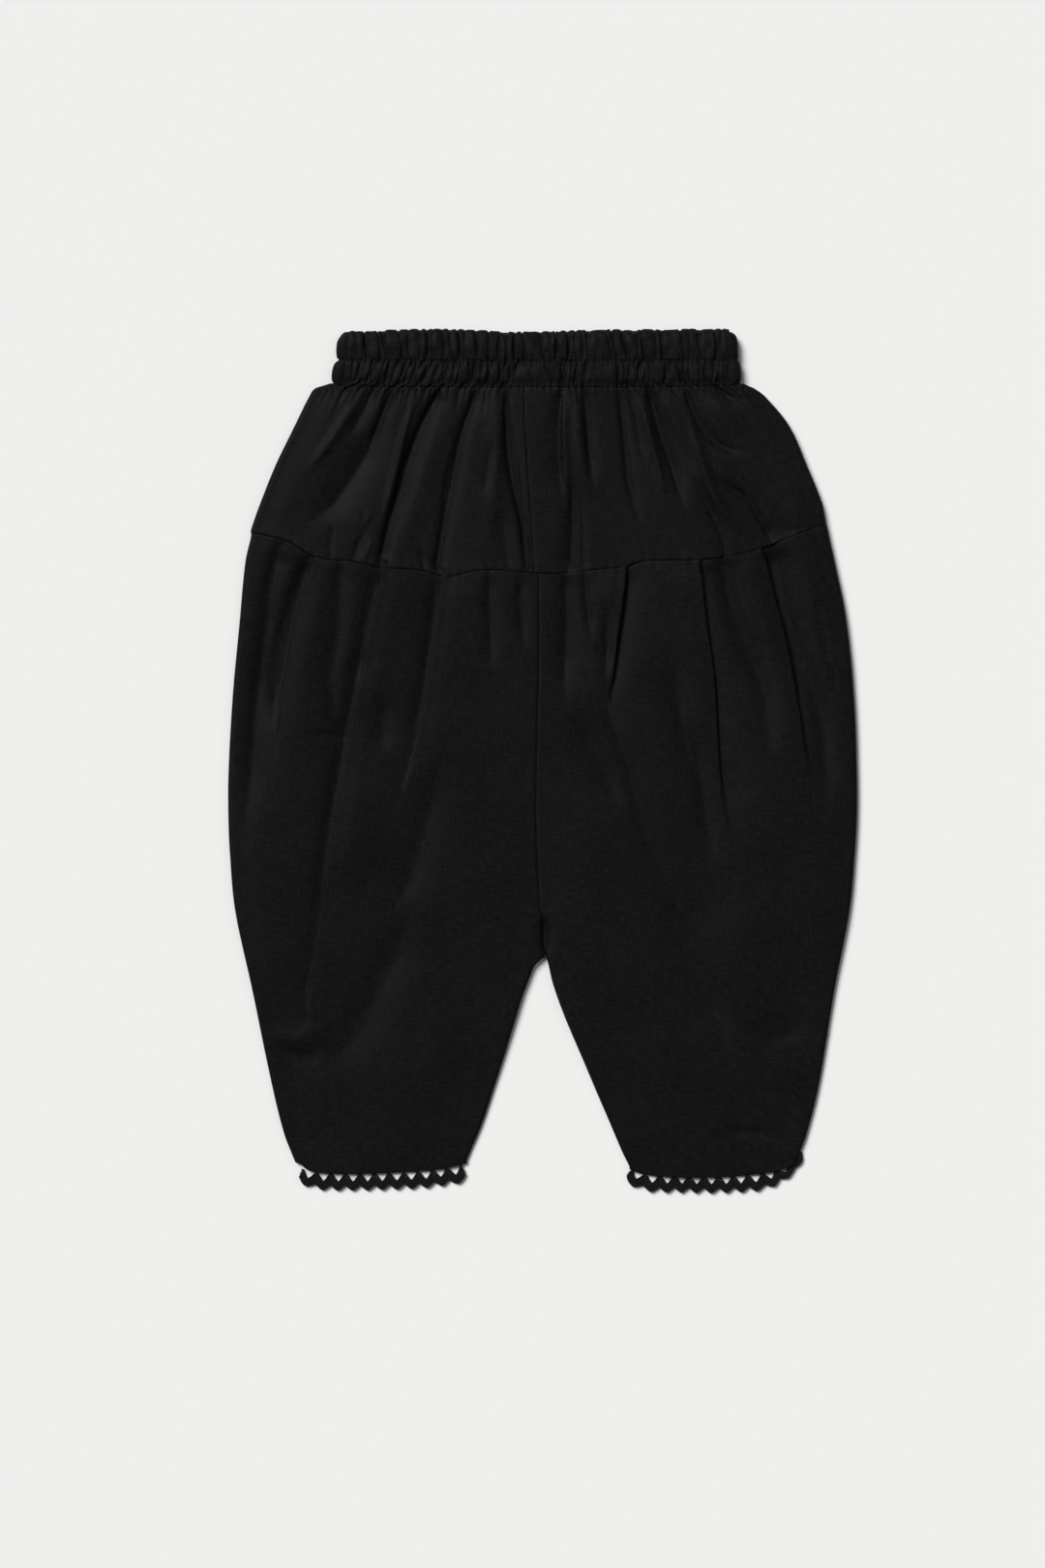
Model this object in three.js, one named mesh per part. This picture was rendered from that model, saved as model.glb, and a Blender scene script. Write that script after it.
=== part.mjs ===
// A toddler's tulip shalwar lying flat, front up: a gathered waistband casing, a hip yoke in two halves,
// two pleated legs that wrap round from front to back, and a scalloped lace at each hem.
//
// Sizes are millimetres. The pattern is drawn in the cutter's own directions: `across` runs to the wearer's
// left from the centre seam, and `down` runs from the waistband's top edge to the hems. `height` is measured
// from the surface that the garment lies on. Right and left are the wearer's. In the tables, x0 to x2 are
// places across and d0 to d2 are places down.

import * as THREE from "three";

// Cloth and seams.
const clothWall = 1.2;
const casingWall = 2.4;
const laceWall = 1.0;
const seamGap = 0.3;
const leastHollow = 0.35;

// Waistband casing, with two channels of elastic.
const bandHalfWidth = { upper: 103.5, lower: 105.5 };
const bandDepth = 29.5;
const bandRiseAtSides = 2.0;
const channelSeamDown = 17.0;
const bandThickness = { channel: 7.6, stitched: 6.2, rim: 5.4 };
const gathersPerSide = 38;
const gatherDepth = 1.2;

// Hems and lace.
const scallopsPerHem = 11;
const laceDrop = { holeTop: 1.1, holeFoot: 4.7, valley: 5.7, tip: 8.6 };
const laceHoleShare = { top: 0.64, foot: 0.12 };
const laceHeight = { front: 1.65, back: 0 };

// Side outlines of yoke and legs, from the waistband to the hems.
const sideOutline = [
  { down: 28, right: -107.5, left: 105.5 },
  { down: 29.5, right: -112.5, left: 108.5 },
  { down: 34.5, right: -117.5, left: 116.5 },
  { down: 49.5, right: -125.5, left: 128.5 },
  { down: 79.5, right: -140, left: 142.5 },
  { down: 105, right: -147.8, left: 149.5 },
  { down: 150, right: -154, left: 158.5 },
  { down: 190, right: -158, left: 162.5 },
  { down: 240, right: -160, left: 164.5 },
  { down: 290, right: -157.5, left: 161.5 },
  { down: 350, right: -147.5, left: 153 },
  { down: 410, right: -131.5, left: 140 },
  { down: 426, right: -126, left: 134.5 },
  { down: 437, right: -122.3, left: 130 },
];

// Inner edges of the legs: the centre seam down to the crotch, then the inseams.
const innerEdge = [
  { down: 100, right: 0, left: 0 },
  { down: 220, right: 0, left: 0 },
  { down: 255, right: 1, left: 1 },
  { down: 305, right: 2.2, left: 2.2 },
  { down: 324, right: 3.2, left: 4.2 },
  { down: 340, right: -5, left: 8 },
  { down: 370, right: -16, left: 20.5 },
  { down: 410, right: -28.5, left: 37 },
  { down: 437, right: -38.5, left: 48.5 },
];

const yokeCentreSeam = [
  { down: 28, across: -7.5 },
  { down: 126, across: -3 },
];

// The seam between yoke and legs, and the two hems.
const yokeSeam = [
  { across: -150, down: 104.5 },
  { across: -121, down: 111.5 },
  { across: -90, down: 118.5 },
  { across: -50, down: 124.5 },
  { across: 0, down: 125.5 },
  { across: 43, down: 122.5 },
  { across: 80, down: 118 },
  { across: 112, down: 111.5 },
  { across: 152, down: 101 },
];
const hem = {
  right: [
    { across: -124, down: 432.5 },
    { across: -103, down: 435 },
    { across: -80, down: 435 },
    { across: -60, down: 433.8 },
    { across: -36, down: 429.5 },
  ],
  left: [
    { across: 46, down: 432 },
    { across: 60, down: 435.8 },
    { across: 92, down: 436.5 },
    { across: 114, down: 434.6 },
    { across: 134, down: 427 },
  ],
};

// Height of the upper sheet's outside where no fold crosses it, and of the roll along the side folds.
const sheetHeight = [
  { down: 28, flat: 6.2, roll: 6.2 },
  { down: 45, flat: 5.2, roll: 5.6 },
  { down: 80, flat: 4.6, roll: 5.4 },
  { down: 125, flat: 4.1, roll: 5.2 },
  { down: 200, flat: 3.5, roll: 5.0 },
  { down: 320, flat: 3.2, roll: 4.6 },
  { down: 437, flat: 2.9, roll: 3.4 },
];
const rollWidth = 9;

// Folds that fan out from the gathers over the yoke. Each runs through three points (across, down); rise is
// up for a ridge and down for a trough, and wide is the half width.
const yokeFolds = [
  { x0: -92, d0: 33, x1: -103, d1: 50, x2: -116, d2: 74, rise: 0.9, wide: 5 },
  { x0: -92, d0: 66, x1: -103, d1: 80, x2: -120, d2: 103, rise: -0.8, wide: 9 },
  { x0: -76, d0: 29, x1: -81, d1: 48, x2: -87, d2: 64, rise: -1.3, wide: 4 },
  { x0: -66, d0: 42, x1: -72, d1: 65, x2: -83, d2: 114, rise: 0.9, wide: 4 },
  { x0: -50, d0: 29, x1: -66, d1: 70, x2: -82, d2: 120, rise: -1.5, wide: 5 },
  { x0: -44, d0: 36, x1: -58, d1: 80, x2: -71, d2: 120, rise: 0.8, wide: 8 },
  { x0: -33, d0: 29, x1: -43, d1: 68, x2: -53, d2: 122, rise: -1.3, wide: 4.5 },
  { x0: -28, d0: 38, x1: -36, d1: 75, x2: -43, d2: 112, rise: 0.7, wide: 6 },
  { x0: -18.5, d0: 29, x1: -19, d1: 65, x2: -24, d2: 118, rise: 0.8, wide: 4 },
  { x0: -15.5, d0: 29, x1: -14, d1: 70, x2: -6, d2: 126, rise: -1.4, wide: 4 },
  { x0: 3, d0: 29, x1: 3, d1: 75, x2: 5, d2: 118, rise: 0.6, wide: 8 },
  { x0: 11, d0: 29, x1: 10.5, d1: 57, x2: 12, d2: 86, rise: -1.3, wide: 4 },
  { x0: 19, d0: 74, x1: 17, d1: 95, x2: 15, d2: 126, rise: -1.2, wide: 5 },
  { x0: 18.5, d0: 29, x1: 21, d1: 57, x2: 29, d2: 88, rise: 0.9, wide: 4.5 },
  { x0: 40, d0: 29, x1: 45.5, d1: 67, x2: 55, d2: 106, rise: -1.0, wide: 4.5 },
  { x0: 50, d0: 29, x1: 56, d1: 57, x2: 64, d2: 94, rise: 0.9, wide: 5 },
  { x0: 56, d0: 29, x1: 64, d1: 60, x2: 75, d2: 92, rise: -1.5, wide: 5.5 },
  { x0: 63, d0: 31, x1: 71, d1: 57, x2: 79, d2: 82, rise: 0.7, wide: 6 },
  { x0: 73, d0: 29, x1: 81, d1: 48, x2: 89, d2: 64, rise: -1.2, wide: 4.5 },
  { x0: 79, d0: 42, x1: 89, d1: 80, x2: 108, d2: 110, rise: 1.1, wide: 5 },
  { x0: 81, d0: 70, x1: 90, d1: 95, x2: 97, d2: 122, rise: -1.0, wide: 4.5 },
  { x0: 88, d0: 29, x1: 95, d1: 48, x2: 110, d2: 64, rise: -0.9, wide: 5 },
  { x0: 92, d0: 74, x1: 103, d1: 84, x2: 116, d2: 101, rise: -0.8, wide: 6 },
];

// Soft hollows and swells in the legs, in the same columns.
const legFolds = [
  { x0: -142, d0: 118, x1: -146, d1: 175, x2: -149, d2: 240, rise: -0.5, wide: 7 },
  { x0: -88, d0: 190, x1: -110, d1: 280, x2: -121, d2: 350, rise: -0.4, wide: 8 },
  { x0: -20, d0: 128, x1: -22, d1: 150, x2: -24, d2: 180, rise: -0.5, wide: 6 },
  { x0: -30, d0: 250, x1: -62, d1: 300, x2: -100, d2: 370, rise: -0.35, wide: 14 },
  { x0: 20, d0: 126, x1: 22, d1: 160, x2: 30, d2: 200, rise: -0.5, wide: 7 },
  { x0: 92, d0: 126, x1: 104, d1: 180, x2: 106, d2: 240, rise: -0.5, wide: 8 },
  { x0: 78, d0: 200, x1: 86, d1: 250, x2: 98, d2: 320, rise: -0.4, wide: 8 },
  { x0: 143, d0: 120, x1: 149, d1: 175, x2: 150, d2: 250, rise: -0.5, wide: 6 },
];

// Knife pleats below the yoke, from the centre outwards. The cloth nearer the centre lies on top. `line` is
// the folded edge down to where it has run out, and on to the hem.
const pleats = {
  right: [
    {
      rise: 1.3,
      released: 240,
      line: [
        { down: 110, across: -50 },
        { down: 170, across: -54.5 },
        { down: 240, across: -67 },
        { down: 340, across: -68 },
        { down: 437, across: -64 },
      ],
    },
    {
      rise: 1.4,
      released: 345,
      line: [
        { down: 110, across: -80 },
        { down: 160, across: -86.5 },
        { down: 235, across: -100.5 },
        { down: 340, across: -118 },
        { down: 395, across: -104 },
        { down: 437, across: -88 },
      ],
    },
    {
      rise: 1.7,
      released: 214,
      line: [
        { down: 105, across: -115 },
        { down: 155, across: -125 },
        { down: 205, across: -133 },
        { down: 280, across: -138 },
        { down: 350, across: -132 },
        { down: 437, across: -107 },
      ],
    },
  ],
  left: [
    {
      rise: 1.9,
      released: 330,
      line: [
        { down: 110, across: 46 },
        { down: 160, across: 40.5 },
        { down: 188, across: 37.5 },
        { down: 212, across: 41.5 },
        { down: 235, across: 50.5 },
        { down: 325, across: 77 },
        { down: 437, across: 74 },
      ],
    },
    {
      rise: 1.2,
      released: 245,
      line: [
        { down: 110, across: 80.5 },
        { down: 185, across: 88.5 },
        { down: 242, across: 95.5 },
        { down: 340, across: 105 },
        { down: 437, across: 95 },
      ],
    },
    {
      rise: 1.7,
      released: 222,
      line: [
        { down: 105, across: 112.5 },
        { down: 155, across: 120.5 },
        { down: 215, across: 132 },
        { down: 300, across: 137 },
        { down: 370, across: 131 },
        { down: 437, across: 115 },
      ],
    },
  ],
};
const pleatLip = { crest: -0.7, foot: 0.8 };
const pleatSlope = 22;
const pleatHollow = { share: 0.2, reach: 8 };
const pleatRises = { from: 96, to: 126 };
const pleatFadeStart = 0.45;

// Shares of a fold's length over which it begins and runs out.
const foldFade = { begin: 0.3, end: 0.35 };

const sign = { right: -1, left: 1 };

// A smooth curve through the rows of a table, read at one value of its `key` column.
function follow(rows, key, column, at) {
  const last = rows.length - 1;
  if (at <= rows[0][key]) return rows[0][column];
  if (at >= rows[last][key]) return rows[last][column];
  let i = 0;
  while (at > rows[i + 1][key]) i++;
  const slopeAt = (j) => {
    const before = rows[Math.max(j - 1, 0)];
    const after = rows[Math.min(j + 1, last)];
    return (after[column] - before[column]) / (after[key] - before[key]);
  };
  const span = rows[i + 1][key] - rows[i][key];
  const t = (at - rows[i][key]) / span;
  const start = rows[i][column];
  const end = rows[i + 1][column];
  const bend = t * t * (3 - 2 * t);
  const leaving = t * (1 - t) * (1 - t) * span * slopeAt(i);
  const arriving = t * t * (t - 1) * span * slopeAt(i + 1);
  return start + (end - start) * bend + leaving + arriving;
}

const mix = THREE.MathUtils.lerp;
const ease = THREE.MathUtils.smoothstep;

// How far one fold lifts or lowers the cloth at a point.
function foldLift(fold, across, down) {
  if (down < fold.d0 || down > fold.d2) return 0;
  const line = [
    { down: fold.d0, across: fold.x0 },
    { down: fold.d1, across: fold.x1 },
    { down: fold.d2, across: fold.x2 },
  ];
  const centre = follow(line, "down", "across", down);
  const lean = (fold.x2 - fold.x0) / (fold.d2 - fold.d0);
  const off = (across - centre) / Math.hypot(1, lean) / fold.wide;
  const length = fold.d2 - fold.d0;
  const startsAtBand = fold.d0 < bandDepth + 2;
  const begun = startsAtBand ? 1 : ease(down, fold.d0, fold.d0 + foldFade.begin * length);
  const left = 1 - ease(down, fold.d2 - foldFade.end * length, fold.d2);
  return fold.rise * Math.exp(-off * off) * begun * left;
}

// How far one pleat lifts the cloth: a long slope up to the folded edge, then a drop beyond it.
function pleatLift(pleat, side, across, down) {
  const edge = follow(pleat.line, "down", "across", down);
  const beyond = (across - edge) * sign[side];
  const fadesFrom = mix(pleatRises.to, pleat.released, pleatFadeStart);
  const shown = 1 - ease(down, fadesFrom, pleat.released);
  const risen = ease(down, pleatRises.from, pleatRises.to) * shown * pleat.rise;
  if (beyond > 0) {
    return -risen * pleatHollow.share * Math.exp(-beyond / pleatHollow.reach);
  }
  return risen * Math.exp(beyond / pleatSlope);
}

// Outside height of the upper sheet of yoke and legs.
function frontHeight(side, across, down) {
  const flat = follow(sheetHeight, "down", "flat", down);
  const roll = follow(sheetHeight, "down", "roll", down);
  const edge = follow(sideOutline, "down", side, down);
  const inFromEdge = (edge - across) * sign[side] - roll / 2;
  const rolled = 1 - ease(inFromEdge, 0, rollWidth);
  let folded = 0;
  for (const fold of [...yokeFolds, ...legFolds]) {
    folded += foldLift(fold, across, down);
  }
  for (const pleat of pleats[side]) {
    folded += pleatLift(pleat, side, across, down);
  }
  const height = mix(flat + folded, roll, rolled);
  return Math.max(height, 2 * clothWall + leastHollow);
}

// The waistband's lower edge, a little higher at its sides.
function bandFoot(across) {
  return bandDepth - bandRiseAtSides * (Math.abs(across) / bandHalfWidth.lower) ** 4;
}

// Moves each point of an open section inwards by the cloth's thickness. Its two ends move straight down and
// straight up, so that they stay on their seams.
function innerSection(section, side, downAt) {
  return section.map((point, i) => {
    if (i === 0) return { ...point, height: point.height - clothWall };
    if (i === section.length - 1) return { ...point, height: point.height + clothWall };
    const dx = section[i + 1].across - section[i - 1].across;
    const dz = section[i + 1].height - section[i - 1].height;
    const length = Math.hypot(dx, dz);
    const across = point.across + (dz / length) * sign[side] * clothWall;
    const height = point.height - (dx / length) * sign[side] * clothWall;
    return { across, down: downAt(across), height };
  });
}

// Closes an outer and an inner net of points into one wall. A ring's last column joins its first.
function wallGeometry(outer, inner, isRing) {
  const columns = outer[0].length;
  const positions = [];
  const place = (net) =>
    net.map((row) =>
      row.map((point) => {
        positions.push(point.across, -point.down, point.height);
        return positions.length / 3 - 1;
      }),
    );
  const outside = place(outer);
  const inside = place(inner);
  const triangles = [];
  const quad = (a, b, c, d) => triangles.push(a, b, c, a, c, d);
  const steps = isRing ? columns : columns - 1;
  const skin = (net, flipped) => {
    for (let r = 0; r + 1 < net.length; r++) {
      for (let c = 0; c < steps; c++) {
        const next = (c + 1) % columns;
        const corners = [net[r][c], net[r][next], net[r + 1][next], net[r + 1][c]];
        quad(...(flipped ? corners.reverse() : corners));
      }
    }
  };
  skin(outside, false);
  skin(inside, true);
  const last = { out: outside[outside.length - 1], in: inside[inside.length - 1] };
  for (let c = 0; c < steps; c++) {
    const next = (c + 1) % columns;
    quad(outside[0][c], inside[0][c], inside[0][next], outside[0][next]);
    quad(last.out[c], last.out[next], last.in[next], last.in[c]);
  }
  if (!isRing) {
    const end = columns - 1;
    for (let r = 0; r + 1 < outside.length; r++) {
      quad(outside[r][0], outside[r + 1][0], inside[r + 1][0], inside[r][0]);
      quad(outside[r][end], inside[r][end], inside[r + 1][end], outside[r + 1][end]);
    }
  }
  return facingOut(positions, triangles);
}

// A geometry from points and triangles, turned round if its faces point inwards.
function facingOut(positions, triangles) {
  const corner = (i) => new THREE.Vector3().fromArray(positions, 3 * i);
  let volume = 0;
  for (let i = 0; i < triangles.length; i += 3) {
    const [a, b, c] = triangles.slice(i, i + 3).map(corner);
    volume += a.dot(b.cross(c));
  }
  const geometry = new THREE.BufferGeometry();
  geometry.setAttribute("position", new THREE.Float32BufferAttribute(positions, 3));
  geometry.setIndex(volume < 0 ? triangles.reverse() : triangles);
  geometry.computeVertexNormals();
  return geometry;
}

const backColumns = 5;
const foldSteps = 4;

// Where one column of a piece crosses a row that runs along `downAt`, found by trying again from each answer.
const crossingTries = 6;

function crossing(columnAt, downAt) {
  let across = columnAt(downAt(0));
  for (let i = 0; i < crossingTries; i++) {
    across = columnAt(downAt(across));
  }
  return across;
}

// One section of a piece that wraps from the front, round the side fold, to the back. The last of `columns`
// is where the side fold starts.
function wrappedSection(side, columns, downAt) {
  const out = sign[side];
  const acrosses = columns.map((columnAt) => crossing(columnAt, downAt));
  const section = [];
  const add = (across, height) => {
    section.push({ across, down: downAt(across), height });
  };
  for (const across of acrosses) {
    add(across, frontHeight(side, across, downAt(across)));
  }
  const top = section[section.length - 1];
  const radius = top.height / 2;
  for (let i = 1; i < foldSteps; i++) {
    const angle = Math.PI / 2 - (Math.PI * i) / foldSteps;
    add(top.across + out * radius * Math.cos(angle), radius + radius * Math.sin(angle));
  }
  for (let i = 0; i <= backColumns; i++) {
    const at = (1 - i / backColumns) * (acrosses.length - 1);
    add(mix(acrosses[Math.floor(at)], acrosses[Math.ceil(at)], at % 1), 0);
  }
  return section;
}

// A wrapped wall between two edges, with a section at each share of the way down.
function wrappedPiece(side, columns, shares, topAt, footAt) {
  const outer = [];
  const inner = [];
  for (const share of shares) {
    const downAt = (across) => mix(topAt(across), footAt(across), share);
    const section = wrappedSection(side, columns, downAt);
    outer.push(section);
    inner.push(innerSection(section, side, downAt));
  }
  return wallGeometry(outer, inner, false);
}

// Where the side fold begins, inside the outline by the radius of the roll.
function foldStart(side, down) {
  const radius = follow(sheetHeight, "down", "roll", down) / 2;
  return follow(sideOutline, "down", side, down) - sign[side] * radius;
}

const yokeColumns = 34;
const yokeRows = [0, 0.016, 0.06, 0.15, 0.27, 0.4, 0.54, 0.68, 0.84, 1];

function yokeGeometry(side) {
  const halfGap = (sign[side] * seamGap) / 2;
  const columns = [];
  for (let c = 0; c <= yokeColumns; c++) {
    columns.push((down) => {
      const centre = follow(yokeCentreSeam, "down", "across", down) + halfGap;
      return mix(centre, foldStart(side, down), c / yokeColumns);
    });
  }
  const topAt = (across) => bandFoot(across) + seamGap;
  const footAt = (across) => follow(yokeSeam, "across", "down", across) - seamGap / 2;
  return wrappedPiece(side, columns, yokeRows, topAt, footAt);
}

// Columns of a leg lie between its inner edge, its three pleats and its side fold.
const legColumnsBetween = [8, 6, 6, 6];
const legRows = [0, 0.03, 0.08, 0.14, 0.19, 0.24, 0.3, 0.36, 0.44, 0.52, 0.585, 0.645, 0.73, 0.86, 1];

function legLines(side) {
  const halfGap = (sign[side] * seamGap) / 2;
  const lines = [(down) => follow(innerEdge, "down", side, down) + halfGap];
  for (const pleat of pleats[side]) {
    lines.push((down) => follow(pleat.line, "down", "across", down));
  }
  lines.push((down) => foldStart(side, down));
  return lines;
}

function legColumns(side) {
  const lines = legLines(side);
  const out = sign[side];
  const columns = [];
  legColumnsBetween.forEach((count, gap) => {
    const from = (down) => lines[gap](down) + (gap > 0 ? out * pleatLip.foot : 0);
    const isLast = gap === legColumnsBetween.length - 1;
    const to = (down) => lines[gap + 1](down) + (isLast ? 0 : out * pleatLip.crest);
    for (let i = 0; i <= count; i++) {
      columns.push((down) => mix(from(down), to(down), i / count));
    }
  });
  return columns;
}

function legGeometry(side) {
  const topAt = (across) => follow(yokeSeam, "across", "down", across) + seamGap / 2;
  const footAt = (across) => follow(hem[side], "across", "down", across);
  return wrappedPiece(side, legColumns(side), legRows, topAt, footAt);
}

// Gathers of the waistband: places of the narrow troughs, unevenly spaced, as shares of the width.
const slowDrift = { size: 0.24, turn: 2.3 };
const quickDrift = { size: 0.1, turn: 5.1 };

function gatherPlaces() {
  const places = [];
  for (let k = 0; k < gathersPerSide; k++) {
    const slow = slowDrift.size * Math.sin(slowDrift.turn * k);
    const quick = quickDrift.size * Math.sin(quickDrift.turn * k);
    places.push((k + 0.5 + slow + quick) / gathersPerSide);
  }
  return places;
}

// Each gather has a trough and the two edges of the swell that follows it.
function gatherColumns() {
  const places = gatherPlaces();
  const columns = [];
  places.forEach((place, k) => {
    const isLast = k + 1 === places.length;
    const next = isLast ? 1 : places[k + 1];
    columns.push({ share: place, trough: 1 });
    columns.push({ share: mix(place, next, 1 / 3), trough: 0 });
    if (!isLast) columns.push({ share: mix(place, next, 2 / 3), trough: 0 });
  });
  return columns;
}

const bandRows = [
  { down: 0, thickness: bandThickness.rim, gathered: 0.5, lean: 0 },
  { down: 1.5, thickness: bandThickness.channel - 0.6, gathered: 1, lean: 0.1 },
  { down: 8.5, thickness: bandThickness.channel, gathered: 0.8, lean: 0.6 },
  { down: 15.5, thickness: bandThickness.channel - 0.5, gathered: 1, lean: 1 },
  { down: channelSeamDown, thickness: bandThickness.stitched, gathered: 0.8, lean: 1 },
  { down: 18.5, thickness: bandThickness.channel - 0.5, gathered: 1, lean: 0.9 },
  { down: 24, thickness: bandThickness.channel - 0.2, gathered: 0.9, lean: 0 },
  { down: bandDepth, thickness: bandThickness.stitched, gathered: 0.9, lean: -0.9 },
];
const gatherLean = 1.6;
const plainAtSides = 0.04;
const bandFoldSteps = 4;

// One closed section of the waistband: front gathers, left fold, back gathers, right fold.
function bandSection(row, wallInside) {
  const low = row.down > channelSeamDown;
  const halfWidth = low ? bandHalfWidth.lower : bandHalfWidth.upper;
  const radius = row.thickness / 2;
  const run = halfWidth - radius;
  const section = [];
  const downAt = (across) => mix(row.down, bandFoot(across), row.down / bandDepth);
  const add = (across, height) => {
    section.push({ across, down: downAt(across), height });
  };
  const sheet = (from, to, height, deeper) => {
    for (const column of gatherColumns()) {
      const atSide = Math.min(column.share, 1 - column.share);
      const held = ease(atSide, 0, plainAtSides);
      const lean = row.lean * gatherLean * held;
      const trough = wallInside ? 0 : column.trough * row.gathered * gatherDepth * held;
      add(mix(from, to, column.share) + lean, height + deeper * trough);
    }
  };
  const inset = wallInside ? casingWall : 0;
  const arc = (centre, startAngle) => {
    for (let i = 0; i <= bandFoldSteps; i++) {
      const angle = startAngle - (Math.PI * i) / bandFoldSteps;
      const reach = radius - inset;
      add(centre + reach * Math.cos(angle), radius + reach * Math.sin(angle));
    }
  };
  const lift = bandThickness.channel - row.thickness;
  sheet(-run, run, row.thickness - inset, -1);
  arc(run, Math.PI / 2);
  sheet(run, -run, inset, 1);
  arc(-run, -Math.PI / 2);
  return section.map((point) => ({ ...point, height: point.height + lift / 2 }));
}

function waistbandGeometry() {
  const outer = bandRows.map((row) => bandSection(row, false));
  const ends = [bandRows[0], bandRows[bandRows.length - 1]];
  const inner = ends.map((row) => bandSection(row, true));
  return wallGeometry(outer, inner, true);
}

// A point of the lace: `place` runs along the hem from the inseam to the side, `drop` away from it.
const laceEnds = { down: 432, insetAtInseam: 0.6, insetAtSide: 1.2 };
const slopeStep = 2;

function lacePoint(side, place, drop) {
  const inseam = follow(innerEdge, "down", side, laceEnds.down);
  const outside = follow(sideOutline, "down", side, laceEnds.down);
  const from = inseam + sign[side] * laceEnds.insetAtInseam;
  const to = outside - sign[side] * laceEnds.insetAtSide;
  const across = mix(from, to, place);
  const down = follow(hem[side], "across", "down", across);
  const fall = follow(hem[side], "across", "down", across + slopeStep) - down;
  const length = Math.hypot(slopeStep, fall);
  return new THREE.Vector2(
    across - (fall / length) * drop,
    -(down + (slopeStep / length) * drop),
  );
}

// One scallop's edge, from one valley towards the next: how far along, and how far from valley to tip.
const scallop = [
  { share: 0.0, fall: 0 },
  { share: 0.2, fall: 0.55 },
  { share: 0.36, fall: 0.9 },
  { share: 0.5, fall: 1 },
  { share: 0.64, fall: 0.9 },
  { share: 0.8, fall: 0.55 },
];
const laceEdgeSteps = 2 * scallopsPerHem;
const laceEndFall = 0.6;

function laceGeometry(side, level) {
  const outline = [];
  const endDrop = mix(seamGap, laceDrop.valley, laceEndFall);
  outline.push(lacePoint(side, 0, endDrop));
  for (let i = 0; i < scallopsPerHem; i++) {
    for (const { share, fall } of scallop.slice(i === 0 ? 1 : 0)) {
      const drop = mix(laceDrop.valley, laceDrop.tip, fall);
      outline.push(lacePoint(side, (i + share) / scallopsPerHem, drop));
    }
  }
  outline.push(lacePoint(side, 1, endDrop));
  for (let i = laceEdgeSteps; i >= 0; i--) {
    outline.push(lacePoint(side, i / laceEdgeSteps, seamGap));
  }
  const shape = new THREE.Shape(outline);
  for (let i = 0; i < scallopsPerHem; i++) {
    const at = (share, drop) => lacePoint(side, (i + share) / scallopsPerHem, drop);
    const topHalf = laceHoleShare.top / 2;
    const footHalf = laceHoleShare.foot / 2;
    shape.holes.push(
      new THREE.Path([
        at(0.5 - topHalf, laceDrop.holeTop),
        at(0.5 + topHalf, laceDrop.holeTop),
        at(0.5 + footHalf, laceDrop.holeFoot),
        at(0.5 - footHalf, laceDrop.holeFoot),
      ]),
    );
  }
  const geometry = new THREE.ExtrudeGeometry(shape, { depth: laceWall, bevelEnabled: false });
  return geometry.translate(0, 0, level);
}

const cotton = new THREE.MeshStandardMaterial({
  color: new THREE.Color(0.011, 0.011, 0.0115),
  roughness: 0.86,
  metalness: 0,
});
const laceYarn = new THREE.MeshStandardMaterial({
  color: new THREE.Color(0.009, 0.009, 0.0095),
  roughness: 0.8,
  metalness: 0,
});

const garment = new THREE.Group();

function addPiece(name, geometry, material) {
  const piece = new THREE.Mesh(geometry, material.clone());
  piece.name = name;
  garment.add(piece);
}

addPiece("waistband", waistbandGeometry(), cotton);
for (const side of ["right", "left"]) {
  addPiece(`yoke_${side}`, yokeGeometry(side), cotton);
  addPiece(`leg_${side}`, legGeometry(side), cotton);
  for (const level of ["front", "back"]) {
    addPiece(`hem_lace_${side}_${level}`, laceGeometry(side, laceHeight[level]), laceYarn);
  }
}

// The origin is the middle of the garment's outline, on the surface that it lies on.
const reach = new THREE.Box3().setFromObject(garment);
const middle = reach.getCenter(new THREE.Vector3());
garment.position.set(-middle.x, -middle.y, -reach.min.z);

const shalwar = new THREE.Group();
shalwar.add(garment);

export default shalwar;
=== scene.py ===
# A toddler's tulip shalwar, laid flat with its front up on a pale floor: a gathered casing with two rows of
# elastic, a hip yoke, two pleated balloon legs and a scalloped braid at each hem.
#
# The cloth is drawn in the cutter's directions, in millimetres, and then placed in the frame in metres:
# `across` runs to the wearer's left from the centre seam, `down` from the waistband's top edge to the hems,
# and `height` up from the floor. Right and left are the wearer's.

import math

import bpy
import numpy as np
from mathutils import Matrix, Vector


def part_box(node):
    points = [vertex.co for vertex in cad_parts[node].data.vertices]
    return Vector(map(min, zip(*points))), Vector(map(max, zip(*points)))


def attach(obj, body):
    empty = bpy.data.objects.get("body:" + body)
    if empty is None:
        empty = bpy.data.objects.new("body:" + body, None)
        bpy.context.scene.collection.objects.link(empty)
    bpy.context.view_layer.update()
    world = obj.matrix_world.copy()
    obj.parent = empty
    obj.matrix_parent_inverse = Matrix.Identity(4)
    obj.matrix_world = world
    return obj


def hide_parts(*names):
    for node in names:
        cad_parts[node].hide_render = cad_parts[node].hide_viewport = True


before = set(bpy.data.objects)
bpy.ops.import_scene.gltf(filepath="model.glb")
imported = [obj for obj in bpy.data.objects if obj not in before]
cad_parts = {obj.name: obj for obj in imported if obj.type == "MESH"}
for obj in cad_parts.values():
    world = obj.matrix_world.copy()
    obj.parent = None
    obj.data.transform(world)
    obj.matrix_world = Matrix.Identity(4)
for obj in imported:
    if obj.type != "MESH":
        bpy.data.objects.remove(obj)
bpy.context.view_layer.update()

MM = 0.001
BAND_LOW, BAND_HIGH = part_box("waistband")
CENTRE_X = (BAND_LOW.x + BAND_HIGH.x) / 2
WAIST_Y = BAND_HIGH.y

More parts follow.
